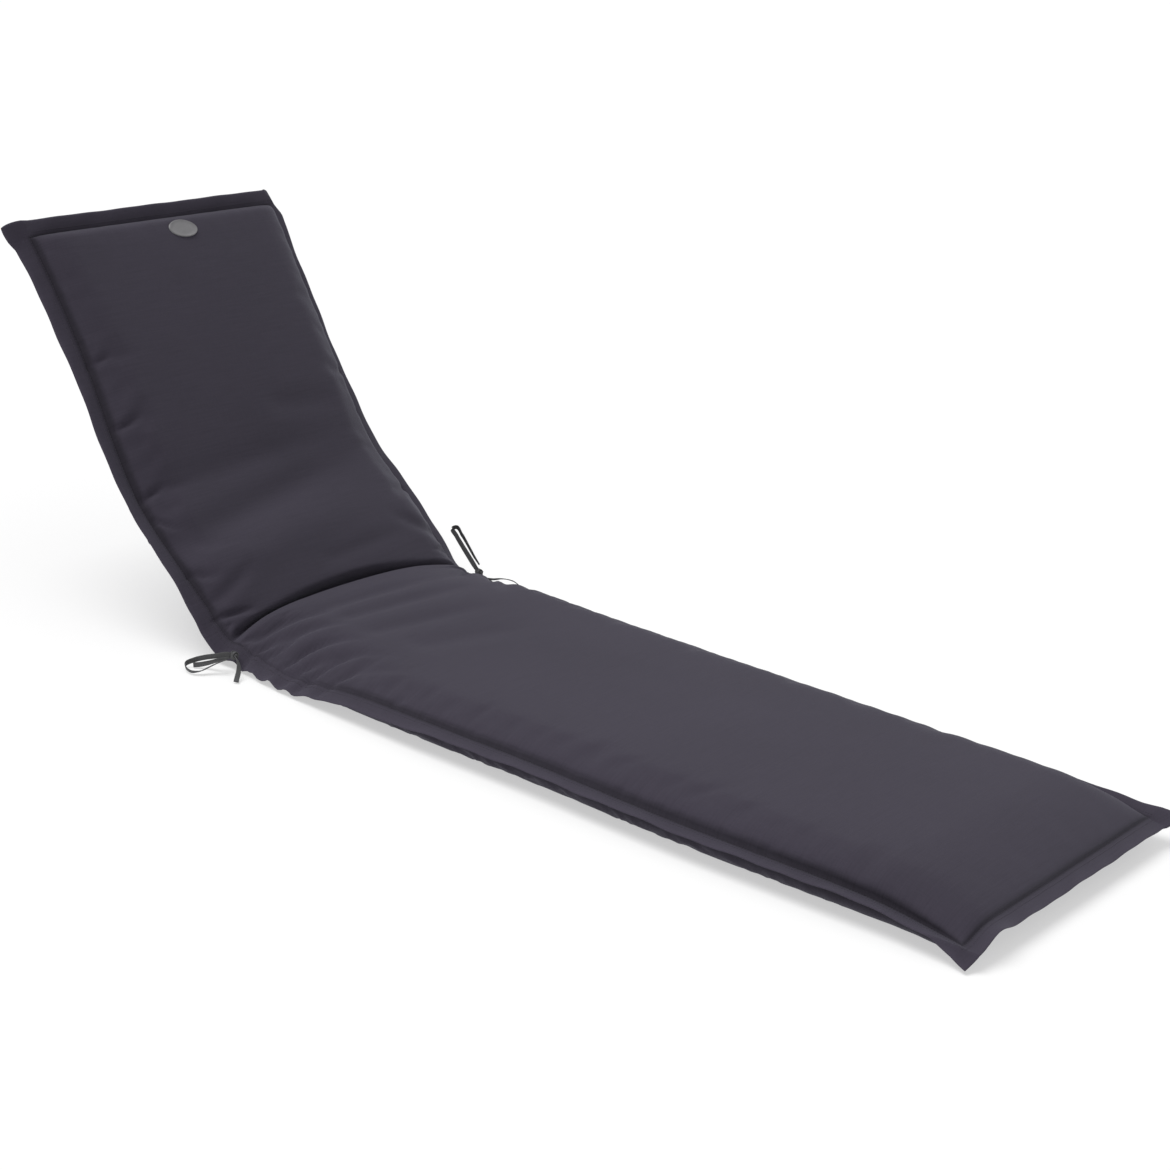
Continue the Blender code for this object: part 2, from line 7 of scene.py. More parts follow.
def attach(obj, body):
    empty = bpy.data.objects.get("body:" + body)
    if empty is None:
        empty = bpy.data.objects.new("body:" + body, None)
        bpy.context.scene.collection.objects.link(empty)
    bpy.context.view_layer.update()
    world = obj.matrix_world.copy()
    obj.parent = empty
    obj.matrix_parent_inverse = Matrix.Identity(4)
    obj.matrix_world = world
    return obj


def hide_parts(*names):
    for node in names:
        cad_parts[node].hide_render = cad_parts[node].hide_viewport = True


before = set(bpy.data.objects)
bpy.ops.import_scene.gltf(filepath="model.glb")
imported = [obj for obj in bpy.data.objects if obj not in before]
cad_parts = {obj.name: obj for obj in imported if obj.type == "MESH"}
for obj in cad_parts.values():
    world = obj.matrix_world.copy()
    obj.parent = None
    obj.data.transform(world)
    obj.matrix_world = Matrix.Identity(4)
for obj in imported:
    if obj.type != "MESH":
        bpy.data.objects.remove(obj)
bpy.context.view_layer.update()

# Panel sizes, metres
LEG_LENGTH = 1.210          # crease to foot seam
BACK_LENGTH = 0.662         # crease to head seam
HALF_WIDTH = 0.2725         # middle to side seam, before the sides draw in
FLANGE_WIDTH = 0.027
FLANGE_THICKNESS = 0.0032
SEAM_THICKNESS = 0.0022
SEAM_HEIGHT = 0.035         # seam plane above the leg section's underside
ORIGIN_ALONG = 0.300        # the origin lies under this place on the seat

# Bends of the seam plane: centre along the panel, radius, turn in degrees
BENDS = (
    (0.000, 0.042, 39.2),
    (-0.237, 0.350, 13.2),
)
LINE_STEP = 0.001

# Rounded shoulders from the seam up to the full height
SIDE_SHOULDER = 0.058
HEAD_SHOULDER = 0.018
FOOT_SHOULDER = 0.135        # a long slope down to the foot seam
SHOULDER_POWER = 2.3
FOOT_POWER = 1.6
UNDERSIDE_SHOULDER = 0.045
UNDERSIDE_REACH = 1.12
CROWN_SHARE = 0.16
SIDE_BULGE = 0.005           # how far the puffed sides swell out towards the seam
BULGE_REACH = 0.045
BULGE_POWER = 0.6

TOP_HEIGHT = (               # along, height of the top above the seam plane
    (-0.70, 0.025),
    (-0.56, 0.033),
    (-0.36, 0.035),
    (-0.22, 0.029),
    (-0.10, 0.032),
    (0.00, 0.028),
    (0.10, 0.031),
    (0.24, 0.026),
    (0.45, 0.028),
    (0.70, 0.035),
    (1.00, 0.040),
    (1.25, 0.039),
)

SIDES = (                    # along, near half width, far half width
    (-0.70, 0.266, 0.268),
    (-0.62, 0.258, 0.260),
    (-0.45, 0.257, 0.256),
    (-0.33, 0.267, 0.257),
    (-0.18, 0.269, 0.265),
    (-0.04, 0.262, 0.268),
    (0.04, 0.262, 0.267),
    (0.16, 0.270, 0.270),
    (0.34, 0.275, 0.272),
    (0.55, 0.272, 0.272),
    (0.80, 0.276, 0.270),
    (1.02, 0.268, 0.268),
    (1.14, 0.264, 0.268),
    (1.19, 0.268, 0.269),
    (1.25, 0.283, 0.271),
)

# Degrees that the flange is turned down about its seam
FLANGE_TURN = (              # along, near side, far side
    (-0.70, 30, 0),
    (-0.55, 20, 4),
    (-0.40, 2, 10),
    (-0.25, -8, 8),
    (-0.10, 2, 4),
    (-0.03, 32, 14),
    (0.03, 52, 30),
    (0.10, 28, 34),
    (0.19, 24, 20),
    (0.29, 22, 10),
    (0.42, 8, 4),
    (0.60, 2, 0),
    (0.90, 0, -8),
    (1.12, -8, -22),
    (1.25, -12, -24),
)
HEAD_TURN = -12.0
FOOT_TURN = 9.0
FLANGE_WAVES = (             # height, length of one wave, shift
    (0.0008, 0.163, 0.4),
    (0.0006, 0.071, 2.1),
)
GATHER_HEIGHT = 0.0035       # waves that the near tie draws into the flange
GATHER_LENGTH = 0.038
GATHER_MIDDLE = 0.085
GATHER_REACH = 0.090
GATHER_SEAM = 0.45           # share of their height left at the seam
GATHER_INSIDE = 0.045        # they fade out this far inside it
FOOT_LIFT = 0.010            # how far the foot's flange rises beside its near corner
FOOT_LIFT_PLACE = 0.048
FOOT_LIFT_REACH = 0.034

# Folded corners of the flange: end, side, share of the way along in the fold's place, where
# the fold starts, then the tip's shift outwards along, outwards across, and up, and how far
# it is drawn in to round it
CORNERS = (
    (1, -1, 0.443, 0.350, -0.006, -0.008, -0.019, 0.000),
    (1, 1, 0.700, 0.500, 0.014, 0.012, -0.001, 0.000),
    (-1, -1, 0.900, 0.600, 0.003, 0.020, 0.002, 0.006),
    (-1, 1, 0.700, 0.500, 0.003, -0.021, -0.003, 0.004),
)
CORNER_CURVE = 0.35

# Places where the seam itself hangs: along, side, depth, reach along, reach across
SAGS = (
    (LEG_LENGTH, -1, 0.013, 0.110, 0.040),
    (0.130, -1, 0.016, 0.090, 0.050),
)

CREASE_FLOOR = 0.15          # share of the height left at the bottom of the valley
CREASE_SEAT_WIDTH = 0.012
CREASE_BACK_WIDTH = 0.005
CREASE_POWER = 1.5
CREASE_ENDS = 0.014          # the valley's two ends lie this far along, its middle nearer the head
CREASE_BOW = 0.034

# Tops drawn down by the ties: along, side, share of the height lost, reach
PINCHES = (
    (0.045, -1, 0.40, 0.075),
    (0.060, 1, 0.60, 0.105),
)

# Soft ridges and troughs: start along and across, end along and across, width, height
FOLDS = (
    (-0.150, -0.250, -0.225, 0.245, 0.026, -0.0085),
    (-0.245, -0.200, -0.270, 0.210, 0.022, -0.0030),
    (-0.100, -0.160, -0.150, 0.200, 0.030, 0.0040),
    (-0.330, 0.060, -0.315, 0.250, 0.018, -0.0025),
    (-0.060, 0.000, -0.075, 0.230, 0.012, -0.0022),
    (0.030, -0.265, 0.080, -0.090, 0.010, -0.0080),
    (0.050, -0.270, 0.130, -0.120, 0.010, -0.0085),
    (0.085, -0.272, 0.185, -0.150, 0.010, -0.0080),
    (0.125, -0.274, 0.245, -0.170, 0.011, -0.0065),
    (0.180, -0.275, 0.300, -0.200, 0.012, -0.0045),
    (0.060, -0.120, 0.075, 0.180, 0.014, -0.0050),
    (0.105, -0.110, 0.130, 0.200, 0.016, -0.0050),
    (0.165, -0.120, 0.200, 0.150, 0.018, -0.0040),
    (0.240, -0.100, 0.290, 0.120, 0.024, -0.0028),
    (0.045, 0.265, 0.090, 0.120, 0.010, -0.0045),
    (0.110, 0.268, 0.170, 0.160, 0.012, -0.0040),
    (-0.050, 0.265, -0.110, 0.150, 0.012, -0.0040),
    (-0.050, -0.258, -0.095, -0.150, 0.011, -0.0045),
    (0.620, -0.270, 0.640, -0.190, 0.016, -0.0025),
    (0.900, 0.265, 0.880, 0.190, 0.018, -0.0025),
    (1.060, -0.262, 1.040, -0.190, 0.018, -0.0025),
)

FOLD_START = 5               # a fold fades in over one part in this many of its length
FOLD_END = 1.6

# Short sharp creases by the seams, drawn by the stitching: same columns as the folds
NICKS = (
    (-0.452, -0.256, -0.462, -0.222, 0.0045, -0.0070),
    (-0.350, -0.260, -0.362, -0.218, 0.0050, -0.0080),
    (-0.238, -0.266, -0.252, -0.224, 0.0048, -0.0075),
    (-0.200, -0.266, -0.170, -0.240, 0.0042, -0.0055),
    (-0.105, -0.266, -0.082, -0.232, 0.0045, -0.0060),
    (-0.030, -0.262, -0.020, -0.200, 0.0050, -0.0070),
    (0.046, -0.284, 0.070, -0.200, 0.0052, -0.0095),
    (0.066, -0.286, 0.100, -0.195, 0.0048, -0.0085),
    (0.098, -0.288, 0.142, -0.190, 0.0054, -0.0105),
    (0.130, -0.288, 0.158, -0.228, 0.0044, -0.0070),
    (0.157, -0.288, 0.196, -0.205, 0.0052, -0.0090),
    (0.198, -0.287, 0.232, -0.218, 0.0048, -0.0065),
    (0.318, -0.275, 0.330, -0.255, 0.0050, -0.0040),
    (0.455, -0.273, 0.462, -0.250, 0.0050, -0.0025),
    (0.700, -0.273, 0.712, -0.252, 0.0050, -0.0020),
    (0.930, -0.270, 0.936, -0.250, 0.0050, -0.0020),
    (-0.372, 0.262, -0.356, 0.220, 0.0060, -0.0040),
    (-0.290, 0.268, -0.300, 0.235, 0.0050, -0.0030),
    (-0.150, 0.270, -0.140, 0.222, 0.0060, -0.0045),
    (0.035, 0.264, 0.075, 0.190, 0.0058, -0.0070),
    (0.080, 0.266, 0.130, 0.200, 0.0058, -0.0065),
    (0.240, 0.270, 0.250, 0.240, 0.0060, -0.0030),
    (0.520, 0.270, 0.530, 0.245, 0.0060, -0.0025),
)

PUCKER_SHARE = 0.34          # of a nick's depth that the seam and the flange follow
PUCKER_REACH = 0.020
GROOVE_SHADE_WIDTH = 0.004         # of the painted shade that darkens the stitched seam's groove
GROOVE_SHADE_FADE = (0.110, 0.120)        # where the gathers hide that painted shade: along, reach
EDGE_HIGHLIGHT_POWER = 4               # how closely the painted highlight on the flange's edge keeps to it

# Grid of the settled cloth: places from the seam inwards, shares of the flange outwards
SIDE_STEPS = (0.0, 0.0025, 0.006, 0.011, 0.017, 0.024, 0.032, 0.041, 0.051, 0.062, 0.074, 0.087,
              0.101, 0.116, 0.132, 0.149, 0.167, 0.186, 0.206, 0.227, 0.249, HALF_WIDTH)
END_STEPS = (0.0, 0.0025, 0.006, 0.011, 0.018, 0.026, 0.035, 0.045, 0.056)
FLANGE_STEPS = (0.16, 0.34, 0.52, 0.70, 0.88, 0.96, 1.0)
FLANGE_EDGE = 0.90           # the flange rounds off past this share of its width
ROW_STEP = 0.011
CREASE_ZONE = 0.036         # closer rows up to here
CREASE_STEP = 0.004

# Settling of the cloth
SETTLE_FRAMES = 20
SETTLE_CAP = 0.005           # furthest that a point may move
SETTLE_SEAM = 0.004          # the cloth is held at the seam and free this far inside it
SETTLE_UNDERSIDE = (0.025, 0.045)   # the underside is free up to the first, held past the second
SETTLE_CLOTH = {
    "pin_stiffness": 1.0,
    "use_pressure": True,
    "uniform_pressure_force": 4.0,
    "shrink_min": -0.012,    # extra cloth cut into the panels
    "shrink_max": -0.012,
    "quality": 5,
    "mass": 0.25,
    "tension_stiffness": 20,
    "compression_stiffness": 20,
    "shear_stiffness": 8,
    "bending_stiffness": 0.08,
}
SETTLE_SHARES = (            # along, share of the settling that is kept
    (-0.66, 0.15),
    (-0.56, 0.45),
    (-0.40, 0.90),
    (0.30, 1.00),
    (0.90, 0.70),
    (1.05, 0.25),
    (1.21, 0.05),
)

# Stitching: rows at these places on the flange, measured outwards from the seam
STITCH_ROWS = (0.0015, 0.0085)
STITCH_PITCH = 0.0042
STITCH_LENGTH = 0.0032
STITCH_THICKNESS = 0.0007
STITCH_START = 0.002         # from the end of a row to its first stitch
STITCH_SIDES = 5
STITCH_FORM = (              # share of the length, of the girth, and rise in thicknesses
    (0.00, 0.35, -0.50),
    (0.18, 0.90, 0.15),
    (0.50, 1.00, 0.35),
    (0.82, 0.90, 0.15),
    (1.00, 0.35, -0.50),
)
ROW_LINE_STEP = 0.002        # step of a stitch row's line along the sides
ROW_LINE_POINTS = 260        # its points across the ends
BESIDE = 0.0015              # how far out its normal is measured

# Badge: a bare oval plate with a raised rim on the head end
BADGE_ALONG = -0.634
BADGE_ACROSS = 0.020
BADGE_SIZE = (0.058, 0.030)
BADGE_TURN = 5.0
BADGE_SIDES = 96
BADGE_STIFFNESS = 0.6        # share of the way from the cloth's curve to a flat plate
BADGE_PROFILE = (            # share of the oval's radius, height over the cloth
    (1.00, -0.0004),
    (1.00, 0.0010),
    (0.985, 0.0017),
    (0.955, 0.0021),
    (0.915, 0.0021),
    (0.885, 0.0018),
    (0.865, 0.0015),
    (0.60, 0.0015),
    (0.30, 0.0015),
    (0.02, 0.0015),
)

# Tapes
TAPE_WIDTH = 0.0075
TAPE_THICKNESS = 0.0014
TAPE_STEP = 0.0012
TAPE_SIDES = 16
TAPE_ROUNDING = (0.35, 0.7)  # powers of the outline's cosine and sine: near zero is square
TAPE_ROOT = 0.6              # a tape starts this share of the way back to its knot's heart
NEAR_KNOT = (-0.2665, -0.2830, 0.0240)
FAR_KNOT = (-0.2680, 0.2985, 0.0286)

KNOT_CORE = (0.0062, 0.0036, 0.0042)
KNOT_WRAPS = (               # turns, start, tilt, pitch, radius
    (1.6, 0.4, 0.15, 0.0060, 0.0047),
    (1.0, 2.1, 0.95, 0.0020, 0.0056),
)
KNOT_STEPS = 64              # along each turn of a wrap
KNOT_SWELL = 0.06            # how unevenly a wrap lies
KNOT_NARROW = 0.78           # share of the tape's width where it is drawn tight

# Tape routes: x, y, z and lean, where 0 stands on its edge and 90 lies flat
TIE_ROUTES = {
    "tie_near_loop": (
        (-0.2710, -0.2915, 0.0262, 8),
        (-0.2828, -0.3005, 0.0225, 6),
        (-0.2982, -0.3087, 0.0170, 4),
        (-0.3115, -0.3150, 0.0105, 4),
        (-0.3170, -0.3255, 0.0062, 8),
        (-0.3060, -0.3375, 0.0048, 24),
        (-0.2920, -0.3400, 0.0044, 42),
        (-0.2845, -0.3310, 0.0058, 60),
        (-0.2805, -0.3205, 0.0098, 66),
        (-0.2745, -0.3085, 0.0155, 66),
        (-0.2675, -0.2975, 0.0205, 60),
    ),
    "tie_near_end_inner": (
        (-0.2725, -0.2895, 0.0205, 70),
        (-0.2829, -0.3000, 0.0150, 62),
        (-0.2953, -0.3077, 0.0085, 48),
        (-0.3035, -0.3145, 0.0055, 40),
        (-0.3085, -0.3205, 0.0048, 36),
    ),
    "tie_near_end_outer": (
        (-0.2540, -0.2895, 0.0225, 40),
        (-0.2455, -0.2955, 0.0178, 55),
        (-0.2403, -0.3010, 0.0120, 65),
        (-0.2360, -0.3080, 0.0062, 75),
        (-0.2307, -0.3157, 0.0030, 84),
    ),
    "tie_far_loop_up": (
        (-0.2745, 0.2940, 0.0385, 42),
        (-0.2845, 0.2925, 0.0490, 30),
        (-0.2996, 0.2910, 0.0640, 20),
        (-0.3150, 0.2905, 0.0790, 16),
        (-0.3245, 0.2915, 0.0880, 16),
        (-0.3205, 0.2955, 0.0905, 16),
        (-0.3090, 0.2975, 0.0805, 18),
        (-0.2930, 0.2985, 0.0640, 24),
        (-0.2790, 0.2995, 0.0490, 32),
        (-0.2700, 0.3000, 0.0410, 42),
    ),
    "tie_far_loop_side": (
        (-0.2570, 0.3010, 0.0225, 45),
        (-0.2420, 0.3030, 0.0240, 55),
        (-0.2300, 0.3055, 0.0280, 66),
        (-0.2185, 0.3085, 0.0298, 72),
        (-0.2070, 0.3120, 0.0285, 72),
        (-0.1985, 0.3165, 0.0220, 66),
        (-0.1985, 0.3225, 0.0085, 52),
        (-0.2080, 0.3275, 0.0050, 30),
        (-0.2250, 0.3260, 0.0046, 18),
        (-0.2420, 0.3190, 0.0060, 18),
        (-0.2570, 0.3095, 0.0160, 26),
    ),
    "tie_far_end": (
        (-0.2540, 0.2960, 0.0170, 80),
        (-0.2400, 0.3010, 0.0162, 84),
        (-0.2270, 0.3040, 0.0150, 86),
        (-0.2150, 0.3062, 0.0142, 86),
    ),
}

# Camera, placed as the photograph's own: metres and degrees
CAMERA_AIM = (0.126, 0.0, 0.192)
CAMERA_DISTANCE = 3.915
CAMERA_AZIMUTH = 32.68
CAMERA_ELEVATION = 19.05
CAMERA_ROLL = 7.75
CAMERA_LENS = 84.98
SENSOR_WIDTH = 36.0

# Colours and finishes; a thread's width and the bump's depth are in metres
CLOTH_COLOUR = (0.0425, 0.0365, 0.0530)
TAPE_COLOUR = (0.088, 0.088, 0.091)
STITCH_COLOUR = (0.055, 0.050, 0.064)
BADGE_COLOUR = (0.215, 0.212, 0.220)
CLOTH_FINISH = {"thread": 0.0008, "slub": 0.46, "bump": 0.00016, "sheen": 0.16}
TAPE_FINISH = {"thread": 0.0007, "slub": 0.25, "bump": 0.00020, "sheen": 0.10}
CLOTH_PAINTED_LIGHT = (("painted_groove_shade", -0.45), ("edge", 0.25))   # attribute, what it adds to the shade: painted shade in the stitched groove, a painted highlight on the flange's edge
SHEEN_TINT = (0.80, 0.82, 0.95, 1)
FABRIC_ROUGHNESS = 0.82
STITCH_ROUGHNESS = 0.6

# Light
FLOOR_GLOW = 0.50
WORLD_STRENGTH = 0.48
SUN_STRENGTH = 2.0
SUN_ANGLE = 40.0
SUN_FROM = (-0.35, -0.22, 0.90)


def blend_table(table, column, at):
    """A smooth curve through one column of a table: cubic pieces with the table's own slopes."""
    knots = np.array([row[0] for row in table])
    values = np.array([row[column] for row in table])
    slopes = np.gradient(values, knots)
    at = np.clip(at, knots[0], knots[-1])
    index = np.clip(np.searchsorted(knots, at) - 1, 0, len(knots) - 2)
    span = knots[index + 1] - knots[index]
    t = (at - knots[index]) / span
    start = (1 + 2 * t) * (1 - t) ** 2 * values[index] + t * (1 - t) ** 2 * span * slopes[index]
    end = t * t * (3 - 2 * t) * values[index + 1] - t * t * (1 - t) * span * slopes[index + 1]
    return start + end


def bent_line(along):
    """x, z and slope of the seam plane: the slope is a sum of ramps, one for each bend, and the
    place is the running sum of the slope's cosine and sine from the foot towards the head."""
    reach = np.arange(LEG_LENGTH + 0.1, -BACK_LENGTH - 0.1, -LINE_STEP)
    slope = np.zeros_like(reach)
    for centre, radius, turn in BENDS:
        arc = radius * np.radians(turn)
        slope += np.radians(turn) * np.clip((centre + arc / 2 - reach) / arc, 0, 1)
    x = reach[0] - ORIGIN_ALONG - np.concatenate(([0], np.cumsum(np.cos(slope[:-1])))) * LINE_STEP
    z = SEAM_HEIGHT + np.concatenate(([0], np.cumsum(np.sin(slope[:-1])))) * LINE_STEP
    return (np.interp(-along, -reach, x), np.interp(-along, -reach, z),
            np.interp(-along, -reach, slope))


def place(along, across, height):
    """World points: out from the bent line along its normal by the height."""
    x, z, slope = bent_line(along)
    return np.stack([x + np.sin(slope) * height, across, z + np.cos(slope) * height], axis=-1)


def shoulder(distance, reach, power=SHOULDER_POWER):
    """Rise from 0 at the seam to 1 at the shoulder's reach, a flattened quarter of an oval."""
    t = 1 - np.clip(distance / reach, 0, 1)
    return (1 - t ** power) ** (1 / power)


def fold_height(folds, along, across):
    """Sum of ridges and troughs, each a bell across its line that fades at its ends."""
    total = np.zeros_like(along)
    for along_0, across_0, along_1, across_1, width, height in folds:
        step = np.array([along_1 - along_0, across_1 - across_0])
        length = np.hypot(*step)
        run = ((along - along_0) * step[0] + (across - across_0) * step[1]) / length ** 2
        aside = ((along - along_0) * step[1] - (across - across_0) * step[0]) / length
        fade = np.clip(run * FOLD_START + 1, 0, 1) * np.clip((1 - run) * FOLD_END, 0, 1)
        total += height * np.exp(-(aside / width) ** 2) * fade * fade * (3 - 2 * fade)
    return total


def crease_share(along, across):
    """Share of the height that the crease leaves: a valley bowed towards the head."""
    middle = CREASE_ENDS - CREASE_BOW * (1 - (across / HALF_WIDTH) ** 2)
    width = np.where(along > middle, CREASE_SEAT_WIDTH, CREASE_BACK_WIDTH)
    return 1 - (1 - CREASE_FLOOR) * np.exp(-np.abs((along - middle) / width) ** CREASE_POWER)


def pinch_share(along, across):
    """Share of the height that the ties leave: a dip round each tie, fading as a bell."""
    share = np.ones_like(along)
    for tie_along, side, lost, reach in PINCHES:
        away = np.hypot(along - tie_along, across - side * HALF_WIDTH) / reach
        share = share * (1 - lost * np.exp(-away ** 2))
    return share


class Panel:
    """The flat panel's grid: rows along, columns across, and what both sheets share there."""

    def __init__(self, rows, shares):
        along, share = np.meshgrid(rows, shares, indexing="ij")
        near = blend_table(SIDES, 1, along)
        far = blend_table(SIDES, 2, along)
        inside = np.clip(share, -1, 1)
        self.side_out = np.abs(share - inside) * HALF_WIDTH
        self.end_out = np.maximum(np.maximum(along - LEG_LENGTH, -BACK_LENGTH - along), 0)
        self.along = along
        self.across = np.where(share < 0, inside * near, inside * far)
        self.across = self.across + (share - inside) * HALF_WIDTH
        self.near = near
        self.far = far

    def side_gap(self):
        """Distance to the nearer side seam, positive inside."""
        return np.minimum(self.across + self.near, self.far - self.across)

    def end_gap(self):
        """Distance to the nearer end seam, positive inside."""
        return np.minimum(LEG_LENGTH - self.along, self.along + BACK_LENGTH)

    def seam_gap(self):
        """Distance to the nearest seam line, positive inside."""
        return np.minimum(self.side_gap(), self.end_gap())

    def fill(self):
        """Share of the filling's full height: the shoulders of the sides and ends multiplied."""
        share = shoulder(self.side_gap(), SIDE_SHOULDER)
        share = share * shoulder(self.along + BACK_LENGTH, HEAD_SHOULDER)
        return share * shoulder(LEG_LENGTH - self.along, FOOT_SHOULDER, FOOT_POWER)

    def underside_share(self):
        """Share of the seam's height that the underside bulges down, flat past its shoulders."""
        share = shoulder(self.side_gap(), UNDERSIDE_SHOULDER)
        return np.clip(share * shoulder(self.end_gap(), UNDERSIDE_SHOULDER) * UNDERSIDE_REACH, 0, 1)

    def side_swell(self):
        """Swell of the puffed sides towards the seam: a sine of the distance from it."""
        side = np.clip(self.side_gap() / BULGE_REACH, 0, 1)
        end = np.clip(self.end_gap() / BULGE_REACH, 0, 1)
        return SIDE_BULGE * np.sin(np.pi * side ** BULGE_POWER) * np.sign(self.across) * end

    def gather_share(self):
        """Share of the gathers: full at the flange's edge, less at the seam, gone inside."""
        outer = GATHER_SEAM + (1 - GATHER_SEAM) * self.side_out / FLANGE_WIDTH
        inner = GATHER_SEAM * np.clip(1 - (self.near + self.across) / GATHER_INSIDE, 0, 1)
        return np.where(self.side_out > 0, outer, inner)

    def turn_flange(self):
        """How far the flange's turning draws it inwards along and across, and how far it drops:
        its width times one less the cosine, and times the sine, plus waves growing outwards."""
        head = np.maximum(-BACK_LENGTH - self.along, 0)
        foot = np.maximum(self.along - LEG_LENGTH, 0)
        column = np.where(self.across < 0, blend_table(FLANGE_TURN, 1, self.along),
                          blend_table(FLANGE_TURN, 2, self.along))
        turn = np.radians(column)
        head_turn, foot_turn = np.radians((HEAD_TURN, FOOT_TURN))
        in_across = -np.sign(self.across) * self.side_out * (1 - np.cos(turn))
        in_along = head * (1 - np.cos(head_turn)) - foot * (1 - np.cos(foot_turn))
        drop = self.side_out * np.sin(turn) + head * np.sin(head_turn) + foot * np.sin(foot_turn)
        for height, length, shift in FLANGE_WAVES:
            wave = np.sin(2 * np.pi * (self.along + self.across) / length + shift)
            drop += height * wave * np.hypot(self.side_out, self.end_out) / FLANGE_WIDTH
        gather = np.exp(-((self.along - GATHER_MIDDLE) / GATHER_REACH) ** 2) * (self.across < 0)
        wave = np.sin(2 * np.pi * self.along / GATHER_LENGTH) * self.gather_share()
        away = (self.near + self.across - FOOT_LIFT_PLACE) / FOOT_LIFT_REACH
        rise = FOOT_LIFT * np.exp(-away ** 2) * foot / FLANGE_WIDTH
        return in_along, in_across, drop + GATHER_HEIGHT * gather * wave - rise

    def fold_corners(self):
        """Shift of the flange's corners: nothing up to each fold line, then growing to the tip."""
        out_along = np.zeros_like(self.along)
        out_across = np.zeros_like(self.along)
        lift = np.zeros_like(self.along)
        for end, side, lean, start, reach_along, reach_across, raised, rounded in CORNERS:
            past_end = (end * self.along - (LEG_LENGTH if end > 0 else BACK_LENGTH)) / FLANGE_WIDTH
            past_side = (side * self.across - (self.far if side > 0 else self.near)) / FLANGE_WIDTH
            past = np.clip((lean * past_end + past_side - start) / (lean + 1 - start), 0, 1)
            share = past * (1 + CORNER_CURVE - CORNER_CURVE * past) * np.clip(past_end + 2, 0, 1)
            tip = (np.clip(past_end, 0, 1) * np.clip(past_side, 0, 1)) ** 2
            out_along += end * (reach_along * share - rounded * tip)
            out_across += side * (reach_across * share - rounded * tip)
            lift += raised * share
        for place_along, side, depth, reach_along, reach_across in SAGS:
            inside = self.far - self.across if side > 0 else self.near + self.across
            inside = np.clip(inside, 0, None) / reach_across
            away = np.hypot((self.along - place_along) / reach_along, inside)
            lift -= depth * np.exp(-away ** 2)
        return out_along, out_across, lift

    def sheets(self):
        """World points of the top and the underside: heights over the panel, then bent."""
        crown = 1 - CROWN_SHARE * (self.across / HALF_WIDTH) ** 2
        full = blend_table(TOP_HEIGHT, 1, self.along) * crown
        full = full * crease_share(self.along, self.across) * pinch_share(self.along, self.across)
        full = full + fold_height(FOLDS + NICKS, self.along, self.across)
        outside = np.clip(np.maximum(self.side_out, self.end_out) / FLANGE_WIDTH, 0, 1)
        edge = np.clip((1 - outside) / (1 - FLANGE_EDGE), 0, 1)
        cloth = np.where(outside > 0, FLANGE_THICKNESS, SEAM_THICKNESS) / 2 * np.sqrt(edge)
        top = cloth + self.fill() * full
        in_along, in_across, drop = self.turn_flange()
        out_along, out_across, lift = self.fold_corners()
        inside = np.clip(self.seam_gap(), 0, None) / PUCKER_REACH
        pucker = fold_height(NICKS, self.along, self.across) * np.exp(-inside ** 2)
        middle = lift - drop + PUCKER_SHARE * pucker
        under = cloth + (SEAM_HEIGHT + middle - cloth) * self.underside_share()
        swell = self.side_swell()
        along = self.along + in_along + out_along
        across = self.across + in_across + out_across
        return (place(along, across + swell, middle + top),
                place(along, across + swell / 2, middle - under))


def halve(values, axis=0):
    """Twice as fine a grid: each new line is a four point cubic mean of its neighbours."""
    values = np.moveaxis(values, axis, 0)
    before = np.concatenate([values[:1], values[:-2]])
    after = np.concatenate([values[2:], values[-1:]])
    middle = (9 * (values[:-1] + values[1:]) - before - after) / 16
    finer = np.empty((2 * len(values) - 1,) + values.shape[1:])
    finer[0::2] = values
    finer[1::2] = middle
    return np.moveaxis(finer, 0, axis)


def panel_lines():
    """Rows along the panel, and columns across it as shares of the half width."""
    flange = [share * FLANGE_WIDTH for share in FLANGE_STEPS]
    first = END_STEPS[-1] - BACK_LENGTH
    last = LEG_LENGTH - END_STEPS[-1]
    middle = np.linspace(first, last, int(round((last - first) / ROW_STEP)) + 1)
    middle = list(middle[np.abs(middle) > CREASE_ZONE + CREASE_STEP / 2])
    middle += list(np.arange(-CREASE_ZONE, CREASE_ZONE + CREASE_STEP / 2, CREASE_STEP))
    foot = [LEG_LENGTH - step for step in END_STEPS[:-1]] + [LEG_LENGTH + out for out in flange]
    head = [step - BACK_LENGTH for step in END_STEPS[:-1]] + [-BACK_LENGTH - out for out in flange]
    rows = sorted(head + middle + foot)
    half = sorted(1 - step / HALF_WIDTH for step in SIDE_STEPS)
    half += [1 + out / HALF_WIDTH for out in flange]
    shares = [-share for share in reversed(half[1:])] + half
    return np.array(rows), np.array(shares)


def midpoints(lines):
    """The lines with their midpoints between them."""
    finer = np.empty(2 * len(lines) - 1)
    finer[0::2] = lines
    finer[1::2] = (lines[:-1] + lines[1:]) / 2
    return finer


def pillow_faces(row_count, column_count):
    """Quads of a top and an underside grid that share their outer ring of points.

    Returns the faces and, for each grid, which point of the joined list each place uses.
    """
    top = np.arange(row_count * column_count).reshape(row_count, column_count)
    under = top.copy()
    inner = (row_count - 2) * (column_count - 2)
    under[1:-1, 1:-1] = top.size + np.arange(inner).reshape(row_count - 2, column_count - 2)

    def quads(index):
        ring = (index[:-1, :-1], index[:-1, 1:], index[1:, 1:], index[1:, :-1])
        return np.stack([corner.ravel() for corner in ring], axis=1)

    return np.concatenate([quads(top)[:, ::-1], quads(under)]), top, under


